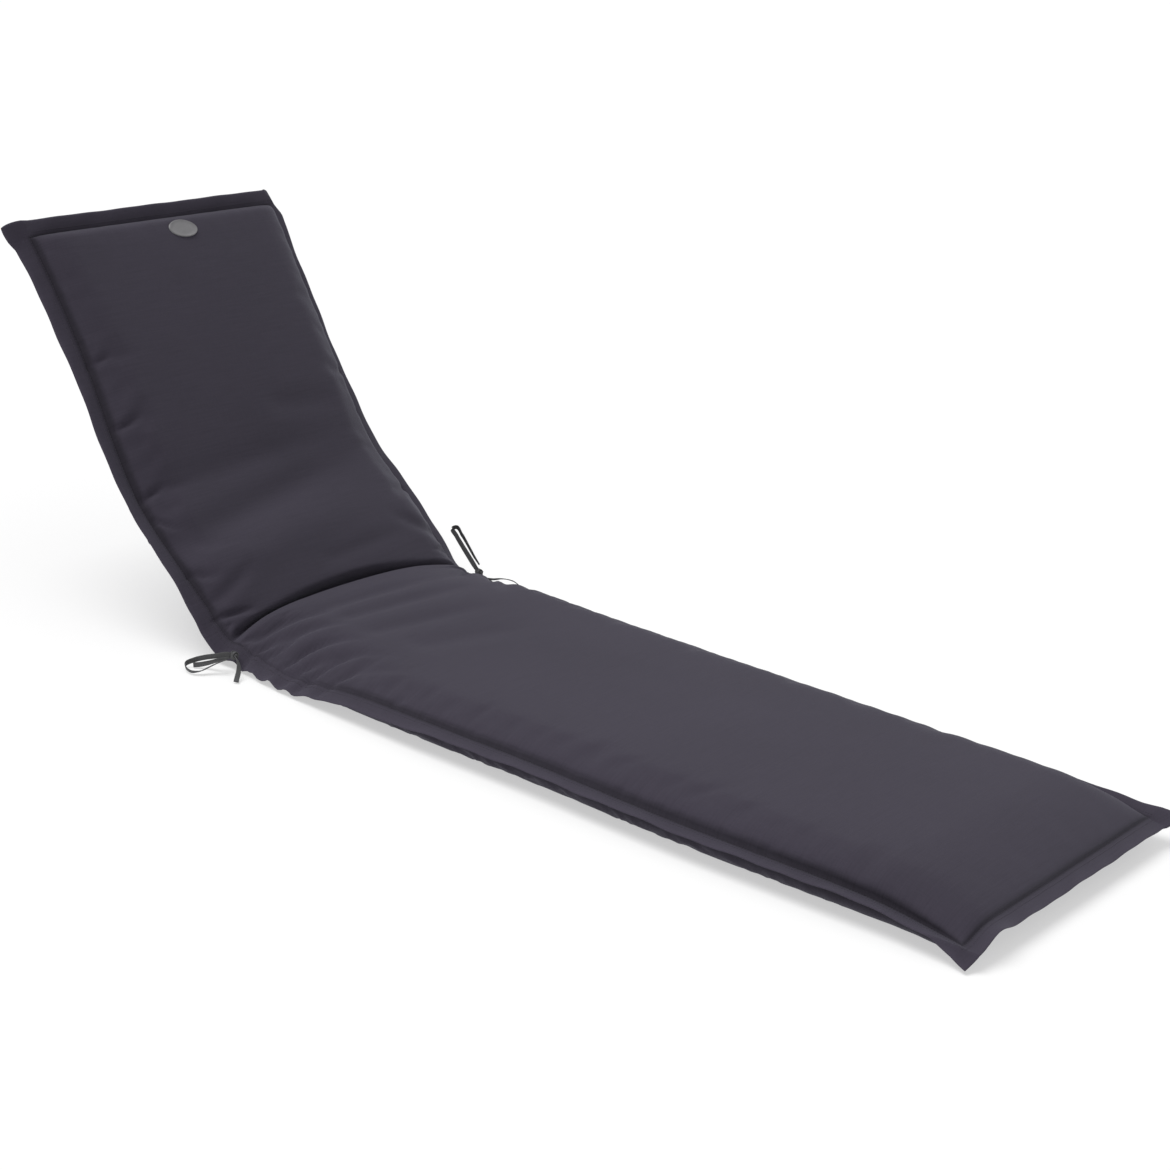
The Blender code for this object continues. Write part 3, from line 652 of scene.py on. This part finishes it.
def mesh_object(name, points, faces, surface, uv=None, smooth=True):
    """A mesh from whole arrays: points, faces of one length, and a flat place for each point."""
    mesh = bpy.data.meshes.new(name)
    faces = np.asarray(faces)
    size = faces.shape[1]
    mesh.vertices.add(len(points))
    mesh.vertices.foreach_set("co", np.asarray(points, dtype=np.float32).ravel())
    mesh.loops.add(faces.size)
    mesh.loops.foreach_set("vertex_index", faces.ravel().astype(np.int32))
    mesh.polygons.add(len(faces))
    mesh.polygons.foreach_set("loop_start", np.arange(0, faces.size, size, dtype=np.int32))
    mesh.update(calc_edges=True)
    mesh.validate()
    if uv is not None:
        layer = mesh.uv_layers.new(name="panel")
        layer.data.foreach_set("uv", np.asarray(uv, dtype=np.float32)[faces.ravel()].ravel())
    mesh.materials.append(surface)
    if smooth:
        mesh.shade_smooth()
    made = bpy.data.objects.new(name, mesh)
    bpy.context.collection.objects.link(made)
    return made


def join_grids(top, under, top_index, under_index):
    """One list of values from a top and an underside grid, as the pillow's points are numbered."""
    values = np.empty((under_index.max() + 1,) + top.shape[2:])
    values[under_index.ravel()] = under.reshape((-1,) + under.shape[2:])
    values[top_index.ravel()] = top.reshape((-1,) + top.shape[2:])
    return values


def settle(panel, top, under):
    """Lets the filled cloth puff and pucker with its seams and flange held.

    Returns how far each point of both grids moved, never more than the cap.
    """
    faces, top_index, under_index = pillow_faces(*panel.along.shape)
    points = join_grids(top, under, top_index, under_index)
    dummy = bpy.data.materials.new("settling")
    body = mesh_object("settling", points, faces, dummy)
    gap = panel.seam_gap()
    free_top = np.clip(gap / SETTLE_SEAM, 0, 1)
    free_to, held_from = SETTLE_UNDERSIDE
    free_under = free_top * np.clip((held_from - gap) / (held_from - free_to), 0, 1)
    held = 1 - join_grids(free_top, free_under, top_index, under_index)
    group = body.vertex_groups.new(name="held")
    for index, weight in enumerate(held):
        group.add([index], float(weight), "REPLACE")
    cloth = body.modifiers.new("settle", "CLOTH")
    cloth.settings.vertex_group_mass = "held"
    for name, value in SETTLE_CLOTH.items():
        setattr(cloth.settings, name, value)
    cloth.settings.effector_weights.gravity = 0
    cloth.point_cache.frame_start = 1
    cloth.point_cache.frame_end = SETTLE_FRAMES
    for step in range(1, SETTLE_FRAMES + 1):
        bpy.context.scene.frame_set(step)
    settled = body.evaluated_get(bpy.context.evaluated_depsgraph_get()).data
    after = np.empty(len(points) * 3)
    settled.vertices.foreach_get("co", after)
    moved = after.reshape(-1, 3) - points
    size = np.linalg.norm(moved, axis=1, keepdims=True)
    moved *= np.tanh(size / SETTLE_CAP) * SETTLE_CAP / np.maximum(size, 1e-9)
    mesh = body.data
    bpy.data.objects.remove(body, do_unlink=True)
    bpy.data.meshes.remove(mesh)
    bpy.data.materials.remove(dummy)
    bpy.context.scene.frame_set(1)
    return moved[top_index], moved[under_index]


class Surface:
    """The finished top as a smooth lookup: world point and normal at any panel place."""

    def __init__(self, rows, shares, points):
        self.rows = rows
        self.shares = shares
        self.points = points

    def at(self, along, across):
        """Four neighbours weighed by how near they lie to the place."""
        half = np.where(across < 0, blend_table(SIDES, 1, along), blend_table(SIDES, 2, along))
        share = across / half
        row = np.clip(np.searchsorted(self.rows, along) - 1, 0, len(self.rows) - 2)
        column = np.clip(np.searchsorted(self.shares, share) - 1, 0, len(self.shares) - 2)
        u = (along - self.rows[row]) / (self.rows[row + 1] - self.rows[row])
        v = (share - self.shares[column]) / (self.shares[column + 1] - self.shares[column])
        u, v = u[..., None], v[..., None]
        first = self.points[row, column] * (1 - v) + self.points[row, column + 1] * v
        second = self.points[row + 1, column] * (1 - v) + self.points[row + 1, column + 1] * v
        return first * (1 - u) + second * u

    def normal(self, along, across, step=0.006):
        """Cross product of the differences across and along."""
        over = self.at(along, across + step) - self.at(along, across - step)
        ahead = self.at(along + step, across) - self.at(along - step, across)
        out = np.cross(ahead, over)
        return out / np.linalg.norm(out, axis=-1, keepdims=True)


def make_cushion(surface):
    """The filled body: its formula on a fine grid plus what the settling moved."""
    rows, shares = panel_lines()
    coarse = Panel(rows, shares)
    fine = Panel(midpoints(rows), midpoints(shares))
    top, under = fine.sheets()
    moves = settle(coarse, *coarse.sheets())
    kept = blend_table(SETTLE_SHARES, 1, coarse.along)[..., None]
    moves = [sheet * kept for sheet in moves]
    top = top + halve(halve(moves[0]), axis=1)
    under = under + halve(halve(moves[1]), axis=1)
    faces, top_index, under_index = pillow_faces(*fine.along.shape)
    points = join_grids(top, under, top_index, under_index)
    points[:, 2] = np.maximum(points[:, 2], 0)
    flat = np.stack([fine.along, fine.across], axis=-1)
    uv = join_grids(flat, flat, top_index, under_index)
    body = mesh_object("cushion_cloth", points, faces, surface, uv)
    gap = fine.seam_gap()
    # painted shade: darker along the stitched seam's groove, where shade falls, faded out where the
    # near tie's gathers hide the seam
    hidden = np.exp(-((fine.along - GROOVE_SHADE_FADE[0]) / GROOVE_SHADE_FADE[1]) ** 2)
    painted_groove_shade = np.exp(-(gap / GROOVE_SHADE_WIDTH) ** 2) * (1 - hidden * (fine.across < 0))
    # painted highlight: lighter towards the flange's outer edge, where its folds catch the light
    edge = np.clip(-gap / FLANGE_WIDTH, 0, 1) ** EDGE_HIGHLIGHT_POWER
    for name, values in (("painted_groove_shade", painted_groove_shade), ("edge", edge)):
        layer = body.data.attributes.new(name, "FLOAT", "POINT")
        joined = join_grids(values, values, top_index, under_index)
        layer.data.foreach_set("value", joined.astype(np.float32))
    return body, Surface(midpoints(rows), midpoints(shares), top)


def seam_line(out, under=False):
    """World points and outward normals along the flange, the given way out from the seam."""
    wide = 1 + out / HALF_WIDTH
    along = np.arange(-BACK_LENGTH - out, LEG_LENGTH + out, ROW_LINE_STEP)
    across = np.linspace(-wide, wide, ROW_LINE_POINTS)
    lines = []
    for rows, shares, other_rows, other_shares, flip in (
        (along, [-wide], along, [-wide - BESIDE / HALF_WIDTH], 1),
        (along, [wide], along, [wide + BESIDE / HALF_WIDTH], -1),
        ([LEG_LENGTH + out], across, [LEG_LENGTH + out + BESIDE], across, 1),
        ([-BACK_LENGTH - out], across, [-BACK_LENGTH - out - BESIDE], across, -1),
    ):
        sheet = 1 if under else 0
        line = Panel(np.array(rows), np.array(shares)).sheets()[sheet].reshape(-1, 3)
        outer = Panel(np.array(other_rows), np.array(other_shares)).sheets()[sheet].reshape(-1, 3)
        ahead = np.gradient(line, axis=0)
        normal = np.cross(ahead, outer - line) * (-flip if under else flip) * -1
        lines.append((line, normal / np.linalg.norm(normal, axis=1, keepdims=True)))
    return lines


def make_stitches(name, surface, under=False):
    """Rows of short threads: each a five sided spindle between its two needle holes, lying half
    in the cloth, thickest in its middle."""
    share, girth, rise = np.array(STITCH_FORM).T
    turn = np.arange(STITCH_SIDES) * 2 * np.pi / STITCH_SIDES
    points = []
    for out in STITCH_ROWS:
        for line, normal in seam_line(out, under):
            run = np.concatenate(([0], np.cumsum(np.linalg.norm(np.diff(line, axis=0), axis=1))))
            starts = np.arange(STITCH_START, run[-1] - STITCH_PITCH, STITCH_PITCH)
            at = starts[:, None] + share[None, :] * STITCH_LENGTH
            spine = np.stack([np.interp(at, run, line[:, k]) for k in range(3)], axis=-1)
            up = np.stack([np.interp(at, run, normal[:, k]) for k in range(3)], axis=-1)
            ahead = spine[:, -1:] - spine[:, :1]
            side = np.cross(ahead, up)
            side /= np.linalg.norm(side, axis=-1, keepdims=True)
            spine = spine + up * rise[None, :, None] * STITCH_THICKNESS
            radius = girth[None, :, None, None] * STITCH_THICKNESS / 2
            ring = (side[:, :, None] * np.cos(turn)[None, None, :, None]
                    + up[:, :, None] * np.sin(turn)[None, None, :, None])
            points.append(spine[:, :, None, :] + ring * radius)
    points = np.concatenate(points)
    count = len(points)
    size = len(STITCH_FORM) * STITCH_SIDES
    ring = np.arange(size).reshape(-1, STITCH_SIDES)
    turned = np.roll(ring, -1, axis=1)
    sides = np.stack([ring[:-1], turned[:-1], turned[1:], ring[1:]], axis=-1).reshape(-1, 4)
    triangles = np.concatenate([sides[:, (0, 1, 2)], sides[:, (0, 2, 3)],
                                [(0, 4, 3), (0, 3, 1), (1, 3, 2)],
                                [(20, 21, 23), (20, 23, 24), (21, 22, 23)]])
    faces = (triangles[None] + np.arange(count)[:, None, None] * size).reshape(-1, 3)
    return mesh_object(name, points.reshape(-1, 3), faces, surface)


def make_badge(top, surface):
    """An oval plate that follows the cloth: rings of an oval, each at its profile's height."""
    turn = np.radians(BADGE_TURN)
    angle = np.linspace(0, 2 * np.pi, BADGE_SIDES, endpoint=False)
    heart = top.at(BADGE_ALONG, BADGE_ACROSS)
    normal = top.normal(BADGE_ALONG, BADGE_ACROSS)
    rings = []
    for share, height in BADGE_PROFILE:
        wide = share * BADGE_SIZE[0] / 2 * np.cos(angle)
        long = share * BADGE_SIZE[1] / 2 * np.sin(angle)
        across = BADGE_ACROSS + wide * np.cos(turn) - long * np.sin(turn)
        along = BADGE_ALONG + wide * np.sin(turn) + long * np.cos(turn)
        on_cloth = top.at(along, across) + top.normal(along, across) * height
        offset = on_cloth - heart
        flat = on_cloth - normal * (offset @ normal - height)[:, None]
        stiff = BADGE_STIFFNESS if rings else 0.0
        rings.append(on_cloth * (1 - stiff) + flat * stiff)
    points = np.stack(rings)
    steps, sides = points.shape[:2]
    index = np.arange(steps * sides).reshape(steps, sides)
    turned = np.roll(index, -1, axis=1)
    quads = np.stack([index[:-1], turned[:-1], turned[1:], index[1:]], axis=-1).reshape(-1, 4)
    faces = np.concatenate([quads[:, (0, 1, 2)], quads[:, (0, 2, 3)]])
    middle = steps * sides
    cap = np.stack([index[-1], turned[-1], np.full(sides, middle)], axis=-1)
    back = np.stack([turned[0], index[0], np.full(sides, middle + 1)], axis=-1)
    points = points.reshape(-1, 3)
    centre = points[-sides:].mean(axis=0)
    under = points[:sides].mean(axis=0)
    points = np.concatenate([points, [centre], [under]])
    return mesh_object("badge_plate", points, np.concatenate([faces, cap, back]), surface)


def smooth_route(route, knot):
    """Points every tape step on a curve from the knot's heart through the route's own points."""
    knots = np.array(route, dtype=float)
    root = np.array(knot) * TAPE_ROOT + knots[0, :3] * (1 - TAPE_ROOT)
    start = np.append(root, knots[0, 3])
    knots = np.concatenate([[start], knots])
    gaps = np.linalg.norm(np.diff(knots[:, :3], axis=0), axis=1)
    places = np.concatenate(([0], np.cumsum(gaps)))
    at = np.linspace(0, places[-1], int(places[-1] / TAPE_STEP) + 2)
    table = np.column_stack([places, knots])
    return np.column_stack([blend_table(table, column, at) for column in range(1, 5)])


def tape_section():
    """Outline of the tape: a flat band with rounded edges, width first, thickness second."""
    turn = np.linspace(0, 2 * np.pi, TAPE_SIDES, endpoint=False)
    across, through = TAPE_ROUNDING
    wide = np.sign(np.cos(turn)) * np.abs(np.cos(turn)) ** across * TAPE_WIDTH / 2
    thick = np.sign(np.sin(turn)) * np.abs(np.sin(turn)) ** through * TAPE_THICKNESS / 2
    return np.stack([wide, -thick], axis=1)


def sweep_tape(name, route, surface):
    """A flat band along its route: the lean turns its width from upright towards level."""
    points = route[:, :3]
    lean = np.radians(route[:, 3])[:, None]
    ahead = np.gradient(points, axis=0)
    ahead /= np.linalg.norm(ahead, axis=1)[:, None]
    level = np.cross(ahead, (0, 0, 1))
    level /= np.linalg.norm(level, axis=1)[:, None]
    upright = np.cross(level, ahead)
    wide = np.cos(lean) * upright + np.sin(lean) * level
    thick = np.cross(ahead, wide)
    section = tape_section()
    rings = (points[:, None, :] + wide[:, None, :] * section[None, :, :1]
             + thick[:, None, :] * section[None, :, 1:])
    steps, sides = rings.shape[:2]
    index = np.arange(steps * sides).reshape(steps, sides)
    turned = np.roll(index, -1, axis=1)
    faces = np.stack([index[:-1], index[1:], turned[1:], turned[:-1]], axis=-1).reshape(-1, 4)
    half = sides // 2
    caps = []
    for ring, flip in ((index[0], False), (index[-1], True)):
        for side in range(half):
            quad = [ring[side], ring[(side + 1) % sides], ring[-side - 2], ring[-side - 1]]
            if len(set(quad)) == 4:
                caps.append(quad[::-1] if flip else quad)
    faces = np.concatenate([faces, np.array(caps)])
    run = np.concatenate(([0], np.cumsum(np.linalg.norm(np.diff(points, axis=0), axis=1))))
    uv = np.stack([np.repeat(run, sides), np.tile(section[:, 0], steps)], axis=1)
    return mesh_object(name, rings.reshape(-1, 3), faces, surface, uv)


def make_knot(name, centre, surface):
    """A drawn knot: an oval core with a turn and a half of tape wound round it and one turn
    laid over them, each a swept band whose flat side faces out from the core."""
    section = tape_section()
    arrays = []
    polar = np.linspace(0.02, np.pi - 0.02, 24)
    turn = np.linspace(0, 2 * np.pi, 40, endpoint=False)
    polar, turn = np.meshgrid(polar, turn, indexing="ij")
    core = np.stack([KNOT_CORE[0] * np.sin(polar) * np.cos(turn),
                     KNOT_CORE[1] * np.sin(polar) * np.sin(turn),
                     KNOT_CORE[2] * np.cos(polar)], axis=-1)
    arrays.append(core)
    for turns, start, tilt, pitch, radius in KNOT_WRAPS:
        t = np.linspace(0, 1, int(KNOT_STEPS * turns))
        angle = start + 2 * np.pi * turns * t
        tilt_axis = np.array((np.cos(tilt), 0, np.sin(tilt)))
        first = np.array((-np.sin(tilt), 0, np.cos(tilt)))
        second = np.array((0, 1, 0))
        radial = first * np.cos(angle)[:, None] + second * np.sin(angle)[:, None]
        swell = radius * (1 + KNOT_SWELL * np.sin(3 * angle + start))
        spine = radial * swell[:, None] + tilt_axis * ((t - 0.5) * pitch)[:, None]
        wide = tilt_axis * KNOT_NARROW
        arrays.append(spine[:, None, :] + wide[None, None, :] * section[None, :, :1]
                      + radial[:, None, :] * section[None, :, 1:])
    points, faces = [], []
    start = 0
    for grid in arrays:
        steps, sides = grid.shape[:2]
        index = np.arange(steps * sides).reshape(steps, sides) + start
        turned = np.roll(index, -1, axis=1)
        quads = np.stack([index[:-1], index[1:], turned[1:], turned[:-1]], axis=-1).reshape(-1, 4)
        middles = np.stack([grid[0].mean(axis=0), grid[-1].mean(axis=0)])
        heart = start + steps * sides
        faces += [quads[:, (0, 1, 2)], quads[:, (0, 2, 3)],
                  np.stack([index[0], turned[0], np.full(sides, heart)], axis=-1),
                  np.stack([turned[-1], index[-1], np.full(sides, heart + 1)], axis=-1)]
        points += [grid.reshape(-1, 3), middles]
        start += steps * sides + 2
    points = np.concatenate(points)
    uv = np.stack([np.arctan2(points[:, 1], points[:, 2]) * 0.005, points[:, 0]], axis=1)
    return mesh_object(name, points + np.array(centre), np.concatenate(faces), surface, uv)


def plain_material(name, colour, roughness):
    """One colour with a low gloss."""
    made = bpy.data.materials.new(name)
    made.use_nodes = True
    shader = made.node_tree.nodes["Principled BSDF"]
    shader.inputs["Base Color"].default_value = (*colour, 1)
    shader.inputs["Roughness"].default_value = roughness
    shader.inputs["Specular IOR Level"].default_value = 0.2
    return made


class Graph:
    """Short calls for adding and joining a tree's nodes."""

    def __init__(self, tree):
        self.tree = tree

    def add(self, kind, **settings):
        node = self.tree.nodes.new(kind)
        for name, value in settings.items():
            setattr(node, name, value)
        return node

    def join(self, source, target):
        if isinstance(source, (int, float)):
            target.default_value = source
        else:
            self.tree.links.new(source, target)

    def math(self, operation, first, second=0.0):
        node = self.add("ShaderNodeMath", operation=operation)
        self.join(first, node.inputs[0])
        self.join(second, node.inputs[1])
        return node.outputs[0]

    def noise(self, vector, scale, detail=3.0):
        node = self.add("ShaderNodeTexNoise")
        node.inputs["Scale"].default_value = scale
        node.inputs["Detail"].default_value = detail
        self.join(vector, node.inputs["Vector"])
        return node.outputs["Fac"]

    def stretch(self, vector, scale):
        node = self.add("ShaderNodeMapping")
        node.inputs["Scale"].default_value = scale
        self.join(vector, node.inputs["Vector"])
        return node.outputs["Vector"]


def weave_group():
    """Plain weave on a flat map in metres: the product of two sines, thread by thread, with
    slubs as noise drawn out along the threads. Height is for bump, Shade varies the colour."""
    tree = bpy.data.node_groups.new("plain_weave", "ShaderNodeTree")
    for name in ("Thread", "Slub"):
        tree.interface.new_socket(name, in_out="INPUT", socket_type="NodeSocketFloat")
    tree.interface.new_socket("Map", in_out="INPUT", socket_type="NodeSocketVector")
    for name in ("Height", "Shade"):
        tree.interface.new_socket(name, in_out="OUTPUT", socket_type="NodeSocketFloat")
    graph = Graph(tree)
    given = graph.add("NodeGroupInput").outputs
    result = graph.add("NodeGroupOutput").inputs
    split = graph.add("ShaderNodeSeparateXYZ")
    graph.join(given["Map"], split.inputs[0])
    turns = graph.math("DIVIDE", np.pi, given["Thread"])
    warp = graph.math("SINE", graph.math("MULTIPLY", split.outputs["X"], turns))
    weft = graph.math("SINE", graph.math("MULTIPLY", split.outputs["Y"], turns))
    cross = graph.math("MULTIPLY", warp, weft)
    slubs = graph.noise(graph.stretch(given["Map"], (430, 13, 1)), 1.0, 4.0)
    slubs_along = graph.noise(graph.stretch(given["Map"], (26, 800, 1)), 1.0, 3.0)
    streaks = graph.math("ADD", graph.math("MULTIPLY", slubs, 0.65),
                         graph.math("MULTIPLY", slubs_along, 0.35))
    streaks = graph.math("SUBTRACT", streaks, 0.5)
    height = graph.math("ADD", graph.math("MULTIPLY", cross, 0.5),
                        graph.math("MULTIPLY", streaks, graph.math("MULTIPLY", given["Slub"], 3.0)))
    graph.join(height, result["Height"])
    shade = graph.math("ADD", graph.math("MULTIPLY", cross, 0.05),
                       graph.math("MULTIPLY", streaks, given["Slub"]))
    graph.join(shade, result["Shade"])
    return tree


def wear_group():
    """Slow patches of fading and fine lint: noise at two sizes, centred on zero."""
    tree = bpy.data.node_groups.new("fading", "ShaderNodeTree")
    tree.interface.new_socket("Place", in_out="INPUT", socket_type="NodeSocketVector")
    tree.interface.new_socket("Shade", in_out="OUTPUT", socket_type="NodeSocketFloat")
    graph = Graph(tree)
    given = graph.add("NodeGroupInput").outputs["Place"]
    broad = graph.math("SUBTRACT", graph.noise(given, 4.5, 2.0), 0.5)
    fine = graph.math("SUBTRACT", graph.noise(given, 240.0, 2.0), 0.5)
    both = graph.math("ADD", graph.math("MULTIPLY", broad, 0.22), graph.math("MULTIPLY", fine, 0.12))
    graph.join(both, graph.add("NodeGroupOutput").inputs["Shade"])
    return tree


def woven_material(name, colour, groups, thread, slub, bump, sheen, painted_light=()):
    """Cloth or tape: a base colour times one plus the weave's and the fading's shade, with
    the painted shade and painted highlight of its own attributes, and bump from the weave."""
    made = plain_material(name, colour, FABRIC_ROUGHNESS)
    shader = made.node_tree.nodes["Principled BSDF"]
    shader.inputs["Sheen Weight"].default_value = sheen
    shader.inputs["Sheen Roughness"].default_value = 0.45
    shader.inputs["Sheen Tint"].default_value = SHEEN_TINT
    graph = Graph(made.node_tree)
    flat = graph.add("ShaderNodeUVMap", uv_map="panel").outputs["UV"]
    place_at = graph.add("ShaderNodeTexCoord").outputs["Object"]
    weave = graph.add("ShaderNodeGroup", node_tree=groups["weave"])
    weave.inputs["Thread"].default_value = thread
    weave.inputs["Slub"].default_value = slub
    graph.join(flat, weave.inputs["Map"])
    fading = graph.add("ShaderNodeGroup", node_tree=groups["fading"])
    graph.join(place_at, fading.inputs["Place"])
    shade = graph.math("ADD", weave.outputs["Shade"], fading.outputs["Shade"])
    # painted shade and painted highlight from the mesh's attributes, added to the colour
    for attribute, amount in painted_light:
        mark = graph.add("ShaderNodeAttribute", attribute_name=attribute).outputs["Fac"]
        shade = graph.math("ADD", shade, graph.math("MULTIPLY", mark, amount))
    shade = graph.math("ADD", shade, 1.0)
    tint = graph.add("ShaderNodeVectorMath", operation="SCALE")
    tint.inputs[0].default_value = colour
    graph.join(shade, tint.inputs["Scale"])
    graph.join(tint.outputs[0], shader.inputs["Base Color"])
    dent = graph.add("ShaderNodeBump")
    dent.inputs["Distance"].default_value = bump
    dent.inputs["Strength"].default_value = 0.8
    graph.join(weave.outputs["Height"], dent.inputs["Height"])
    graph.join(dent.outputs["Normal"], shader.inputs["Normal"])
    return made


def badge_material():
    """Satin grey moulding with a fine grain in its gloss and height."""
    made = plain_material("badge_plate", BADGE_COLOUR, 0.42)
    shader = made.node_tree.nodes["Principled BSDF"]
    shader.inputs["Specular IOR Level"].default_value = 0.45
    graph = Graph(made.node_tree)
    place_at = graph.add("ShaderNodeTexCoord").outputs["Object"]
    grain = graph.noise(place_at, 1400.0, 3.0)
    broad = graph.noise(place_at, 90.0, 2.0)
    shade = graph.math("ADD", 0.86, graph.math("MULTIPLY", broad, 0.28))
    tint = graph.add("ShaderNodeVectorMath", operation="SCALE")
    tint.inputs[0].default_value = BADGE_COLOUR
    graph.join(shade, tint.inputs["Scale"])
    graph.join(tint.outputs[0], shader.inputs["Base Color"])
    graph.join(graph.math("ADD", 0.34, graph.math("MULTIPLY", grain, 0.2)),
               shader.inputs["Roughness"])
    dent = graph.add("ShaderNodeBump")
    dent.inputs["Distance"].default_value = 0.0001
    graph.join(grain, dent.inputs["Height"])
    graph.join(dent.outputs["Normal"], shader.inputs["Normal"])
    return made


def make_camera():
    """The camera looks at its aim from the azimuth and elevation, rolled about its own axis."""
    azimuth, elevation, roll = np.radians((CAMERA_AZIMUTH, CAMERA_ELEVATION, CAMERA_ROLL))
    back = Vector((np.sin(azimuth) * np.cos(elevation), -np.cos(azimuth) * np.cos(elevation),
                   np.sin(elevation)))
    level = Vector((0, 0, 1)).cross(back).normalized()
    rise = back.cross(level)
    right = level * np.cos(roll) + rise * np.sin(roll)
    up = rise * np.cos(roll) - level * np.sin(roll)
    lens = bpy.data.cameras.new("camera")
    lens.lens = CAMERA_LENS
    lens.sensor_width = SENSOR_WIDTH
    camera = bpy.data.objects.new("camera", lens)
    bpy.context.collection.objects.link(camera)
    where = Vector(CAMERA_AIM) + back * CAMERA_DISTANCE
    turn = Matrix((right, up, back)).transposed().to_4x4()
    camera.matrix_world = Matrix.Translation(where) @ turn
    bpy.context.scene.camera = camera


def make_stage():
    """A pale floor that glows a little, a plain pale world and one broad soft lamp from above,
    behind the head and to the near side, as the photograph's shading shows."""
    floor_look = plain_material("floor", (0.50, 0.50, 0.50), 0.9)
    shader = floor_look.node_tree.nodes["Principled BSDF"]
    shader.inputs["Emission Color"].default_value = (1, 1, 1, 1)
    shader.inputs["Emission Strength"].default_value = FLOOR_GLOW
    corners = np.array([(-30, -30, 0), (30, -30, 0), (30, 30, 0), (-30, 30, 0)], dtype=float)
    floor = mesh_object("floor", corners, [[0, 1, 2, 3]], floor_look, smooth=False)
    world = bpy.data.worlds.new("studio")
    world.use_nodes = True
    world.node_tree.nodes["Background"].inputs["Color"].default_value = (1, 1, 1, 1)
    world.node_tree.nodes["Background"].inputs["Strength"].default_value = WORLD_STRENGTH
    bpy.context.scene.world = world
    bpy.context.scene.view_settings.view_transform = "Standard"
    sun = bpy.data.lights.new("sun", "SUN")
    sun.energy = SUN_STRENGTH
    sun.angle = np.radians(SUN_ANGLE)
    lamp = bpy.data.objects.new("sun", sun)
    bpy.context.collection.objects.link(lamp)
    lamp.rotation_euler = Vector(SUN_FROM).to_track_quat("Z", "Y").to_euler()


make_camera()
groups = {"weave": weave_group(), "fading": wear_group()}
tape_look = woven_material("tape", TAPE_COLOUR, groups, **TAPE_FINISH)
for node, route in TIE_ROUTES.items():
    knot = NEAR_KNOT if "near" in node else FAR_KNOT
    line = smooth_route(route, knot)
    tape = sweep_tape(node + "_tape", line, tape_look)
    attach(tape, "root")
    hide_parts(node)
for name, centre in (("tie_near_knot", NEAR_KNOT), ("tie_far_knot", FAR_KNOT)):
    knot = make_knot(name + "_drawn", centre, tape_look)
    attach(knot, "root")
    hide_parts(name)

cloth_look = woven_material("cloth", CLOTH_COLOUR, groups, painted_light=CLOTH_PAINTED_LIGHT, **CLOTH_FINISH)
cushion, top = make_cushion(cloth_look)
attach(cushion, "root")
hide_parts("cushion")

stitch_look = plain_material("stitching", STITCH_COLOUR, STITCH_ROUGHNESS)
for name, under in (("stitches_top", False), ("stitches_underside", True)):
    stitches = make_stitches(name, stitch_look, under)
    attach(stitches, "root")

badge = make_badge(top, badge_material())
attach(badge, "root")
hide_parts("badge")

make_stage()
